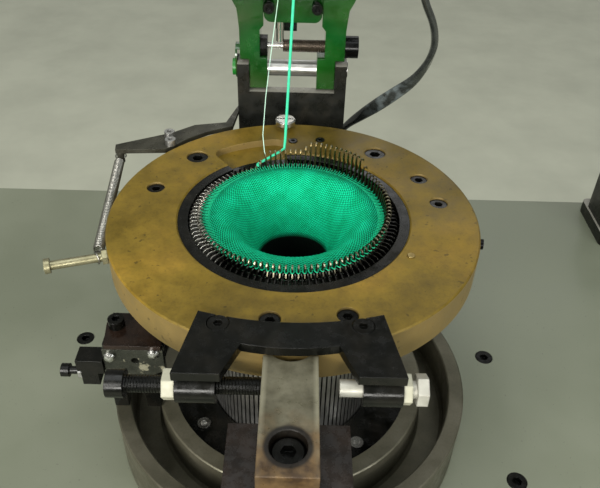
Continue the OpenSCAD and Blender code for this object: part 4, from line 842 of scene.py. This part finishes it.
def cable_ring(points, i):
    """One cross-section: round, or flat and twisted near the middle of the flat stretch."""
    ahead = heading(points, i)
    level = (REARWARDS - ahead * REARWARDS.dot(ahead)).normalized()
    up = ahead.cross(level)
    off = i / (len(points) - 1) - FLAT_AT
    flat = max(0, 1 - (off / FLAT_SHARE) ** 2)
    twist = math.pi / 2 + TWIST * off
    wide = level * math.cos(twist) + up * math.sin(twist)
    thin = ahead.cross(wide)
    width = CABLE_WIDTH + (CABLE_FLAT_WIDTH - CABLE_WIDTH) * flat
    ring = []
    for angle in turns(CABLE_SIDES):
        waist = 1 - CABLE_WAIST * flat * (1 - abs(math.cos(angle)))
        a = width / 2 * math.cos(angle)
        b = CABLE_THICKNESS / 2 * math.sin(angle) * waist
        ring.append(points[i] + (wide * a + thin * b) * MM)
    return ring


def make_cable(materials):
    """A cable that is round above and flat, with a twist, where it swings in under the head."""
    points = smooth_path([place(*p) for p in CABLE], CABLE_STEPS)
    vertices, faces = closed_tubes([[cable_ring(points, i) for i in range(len(points))]])
    cable = mesh_object("twisted_cable", vertices, faces, materials["cable_rubber"])
    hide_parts("sensor_cable")
    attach(cable, "machine")


# Return spring

STUD_TURN = math.radians(197.4)
SPRING_FROM = place_round(STUD_TURN, 111, -9)
SPRING_TO = place(-114.6, 69, -7)
SPRING_R = 2.9
SPRING_TURNS = 58
STEPS_PER_TURN = 9
WIRE_R = 0.42
HOOK_R = 3.4
HOOK_STEPS = 12
# The hook round the stud leans towards the cap by this angle
HOOK_LEAN = 0.6


def spring_hook(centre, right, up, first, last):
    """Part of a circle in the plane of two directions, between two angles in half turns."""
    path = []
    for k in range(HOOK_STEPS + 1):
        angle = math.pi * (first + (last - first) * k / HOOK_STEPS)
        path.append(centre + (right * math.cos(angle) + up * math.sin(angle)) * HOOK_R * MM)
    return path


def make_spring(materials):
    start = SPRING_FROM
    end = SPRING_TO
    along = (end - start).normalized()
    side = along.cross(Vector((0, 0, 1))).normalized()
    up = side.cross(along)
    lean = along * math.cos(HOOK_LEAN) - side * math.sin(HOOK_LEAN)
    coil_start = 2 * HOOK_R * MM
    coil = (end - start).length - 2 * coil_start
    steps = SPRING_TURNS * STEPS_PER_TURN
    path = spring_hook(start, -lean, -up, 0.75, -0.75)
    for k in range(steps):
        angle = 2 * math.pi * k / STEPS_PER_TURN
        centre = start + along * (coil_start + coil * k / steps)
        path.append(centre + (side * math.cos(angle) + up * math.sin(angle)) * SPRING_R * MM)
    path += spring_hook(end, along, side, 1.25, 2.75)
    vertices, faces = closed_tubes([round_rings(path, WIRE_R * MM, WIRE_SIDES)])
    spring = mesh_object("coiled_spring", vertices, faces, materials["spring_steel"])
    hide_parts("return_spring")
    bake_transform(spring)


# Stage and light

FLOOR_COLOUR = (0.365, 0.370, 0.285)
FLOOR_HALF = 6


def make_floor():
    """A pale floor, faintly mottled and lit a little from within."""
    look = Look("floor", roughness=0.9, Emission_Strength=0.33)
    darker = tuple(c * 0.86 for c in FLOOR_COLOUR)
    mottled = look.ramp(look.noise(260, detail=4, roughness=0.6), [(0.32, darker), (0.66, FLOOR_COLOUR)])
    look.set_colour(mottled)
    look.feed("Emission Color", mottled)
    h = FLOOR_HALF
    floor = mesh_object("floor", [(-h, -h, 0), (h, -h, 0), (h, h, 0), (-h, h, 0)], [(0, 1, 2, 3)],
                        look.material, smooth=False)


SKY_COLOUR = (0.93, 0.97, 1.0, 1)
WALL_COLOUR = (0.60, 0.61, 0.54, 1)


def background(tree, colour, strength):
    node = tree.nodes.new("ShaderNodeBackground")
    node.inputs["Color"].default_value = colour
    node.inputs["Strength"].default_value = strength
    return node.outputs[0]


def choose(tree, share, first, second):
    """The first shader, or the second one where the share is 1."""
    node = tree.nodes.new("ShaderNodeMixShader")
    for socket, value in zip(node.inputs, (share, first, second)):
        tree.links.new(value, socket)
    return node.outputs[0]


def make_world():
    """Even soft light; what the camera, glossy and clear surfaces see of it is pale."""
    world = bpy.data.worlds.new("studio")
    bpy.context.scene.world = world
    world.use_nodes = True
    tree = world.node_tree
    tree.nodes.clear()
    rays = tree.nodes.new("ShaderNodeLightPath").outputs
    straight = tree.nodes.new("ShaderNodeMath")
    straight.operation = "MAXIMUM"
    tree.links.new(rays["Is Camera Ray"], straight.inputs[0])
    tree.links.new(rays["Is Transmission Ray"], straight.inputs[1])
    light = background(tree, SKY_COLOUR, strength=0.40)
    shine = background(tree, WALL_COLOUR, strength=0.42)
    seen = background(tree, WALL_COLOUR, strength=0.75)
    unseen = choose(tree, rays["Is Glossy Ray"], light, shine)
    output = tree.nodes.new("ShaderNodeOutputWorld")
    tree.links.new(choose(tree, straight.outputs[0], unseen, seen), output.inputs["Surface"])


WARM = (1.0, 0.98, 0.93)
COOL = (0.97, 1.0, 1.0)
# Name, place in metres, width and depth in metres, power in watts and colour of each lamp
LAMPS = [
    ("key", (-1.0, -1.45, 1.75), (0.9, 0.9), 40, WARM),
    ("fill", (1.3, -1.3, 1.9), (1.1, 1.1), 20, COOL),
    ("top", (0.0, -0.1, 3.0), (1.6, 1.6), 24, COOL),
    ("rear", (0.5, 2.1, 2.2), (1.6, 0.5), 5, (1, 1, 1)),
    ("low", (-0.15, -1.7, 1.20), (0.9, 0.35), 20, (1.0, 0.98, 0.92)),
]


def make_lights():
    """Soft lamps round the machine, all turned to the middle of the cap."""
    for name, position, size, power, colour in LAMPS:
        data = bpy.data.lights.new(name, "AREA")
        data.shape = "RECTANGLE"
        data.size, data.size_y = size
        data.energy = power
        data.color = colour
        lamp = bpy.data.objects.new(name, data)
        lamp.location = position
        towards = place(0, 0, 0) - Vector(position)
        lamp.rotation_euler = towards.to_track_quat("-Z", "Y").to_euler()
        bpy.context.scene.collection.objects.link(lamp)


make_camera()
looks = make_materials()
dress_nodes(looks)
make_fabric(looks)
make_stitch_loops(looks)
make_yarn("main_yarn", MAIN_YARN, MAIN_YARN_WIDTH, "yarn_green", looks)
make_yarn("fine_yarn", FINE_YARN, FINE_YARN_WIDTH, "yarn_pale", looks)
make_cable(looks)
make_spring(looks)
make_floor()
make_world()
make_lights()
bpy.context.scene.view_settings.view_transform = "Standard"
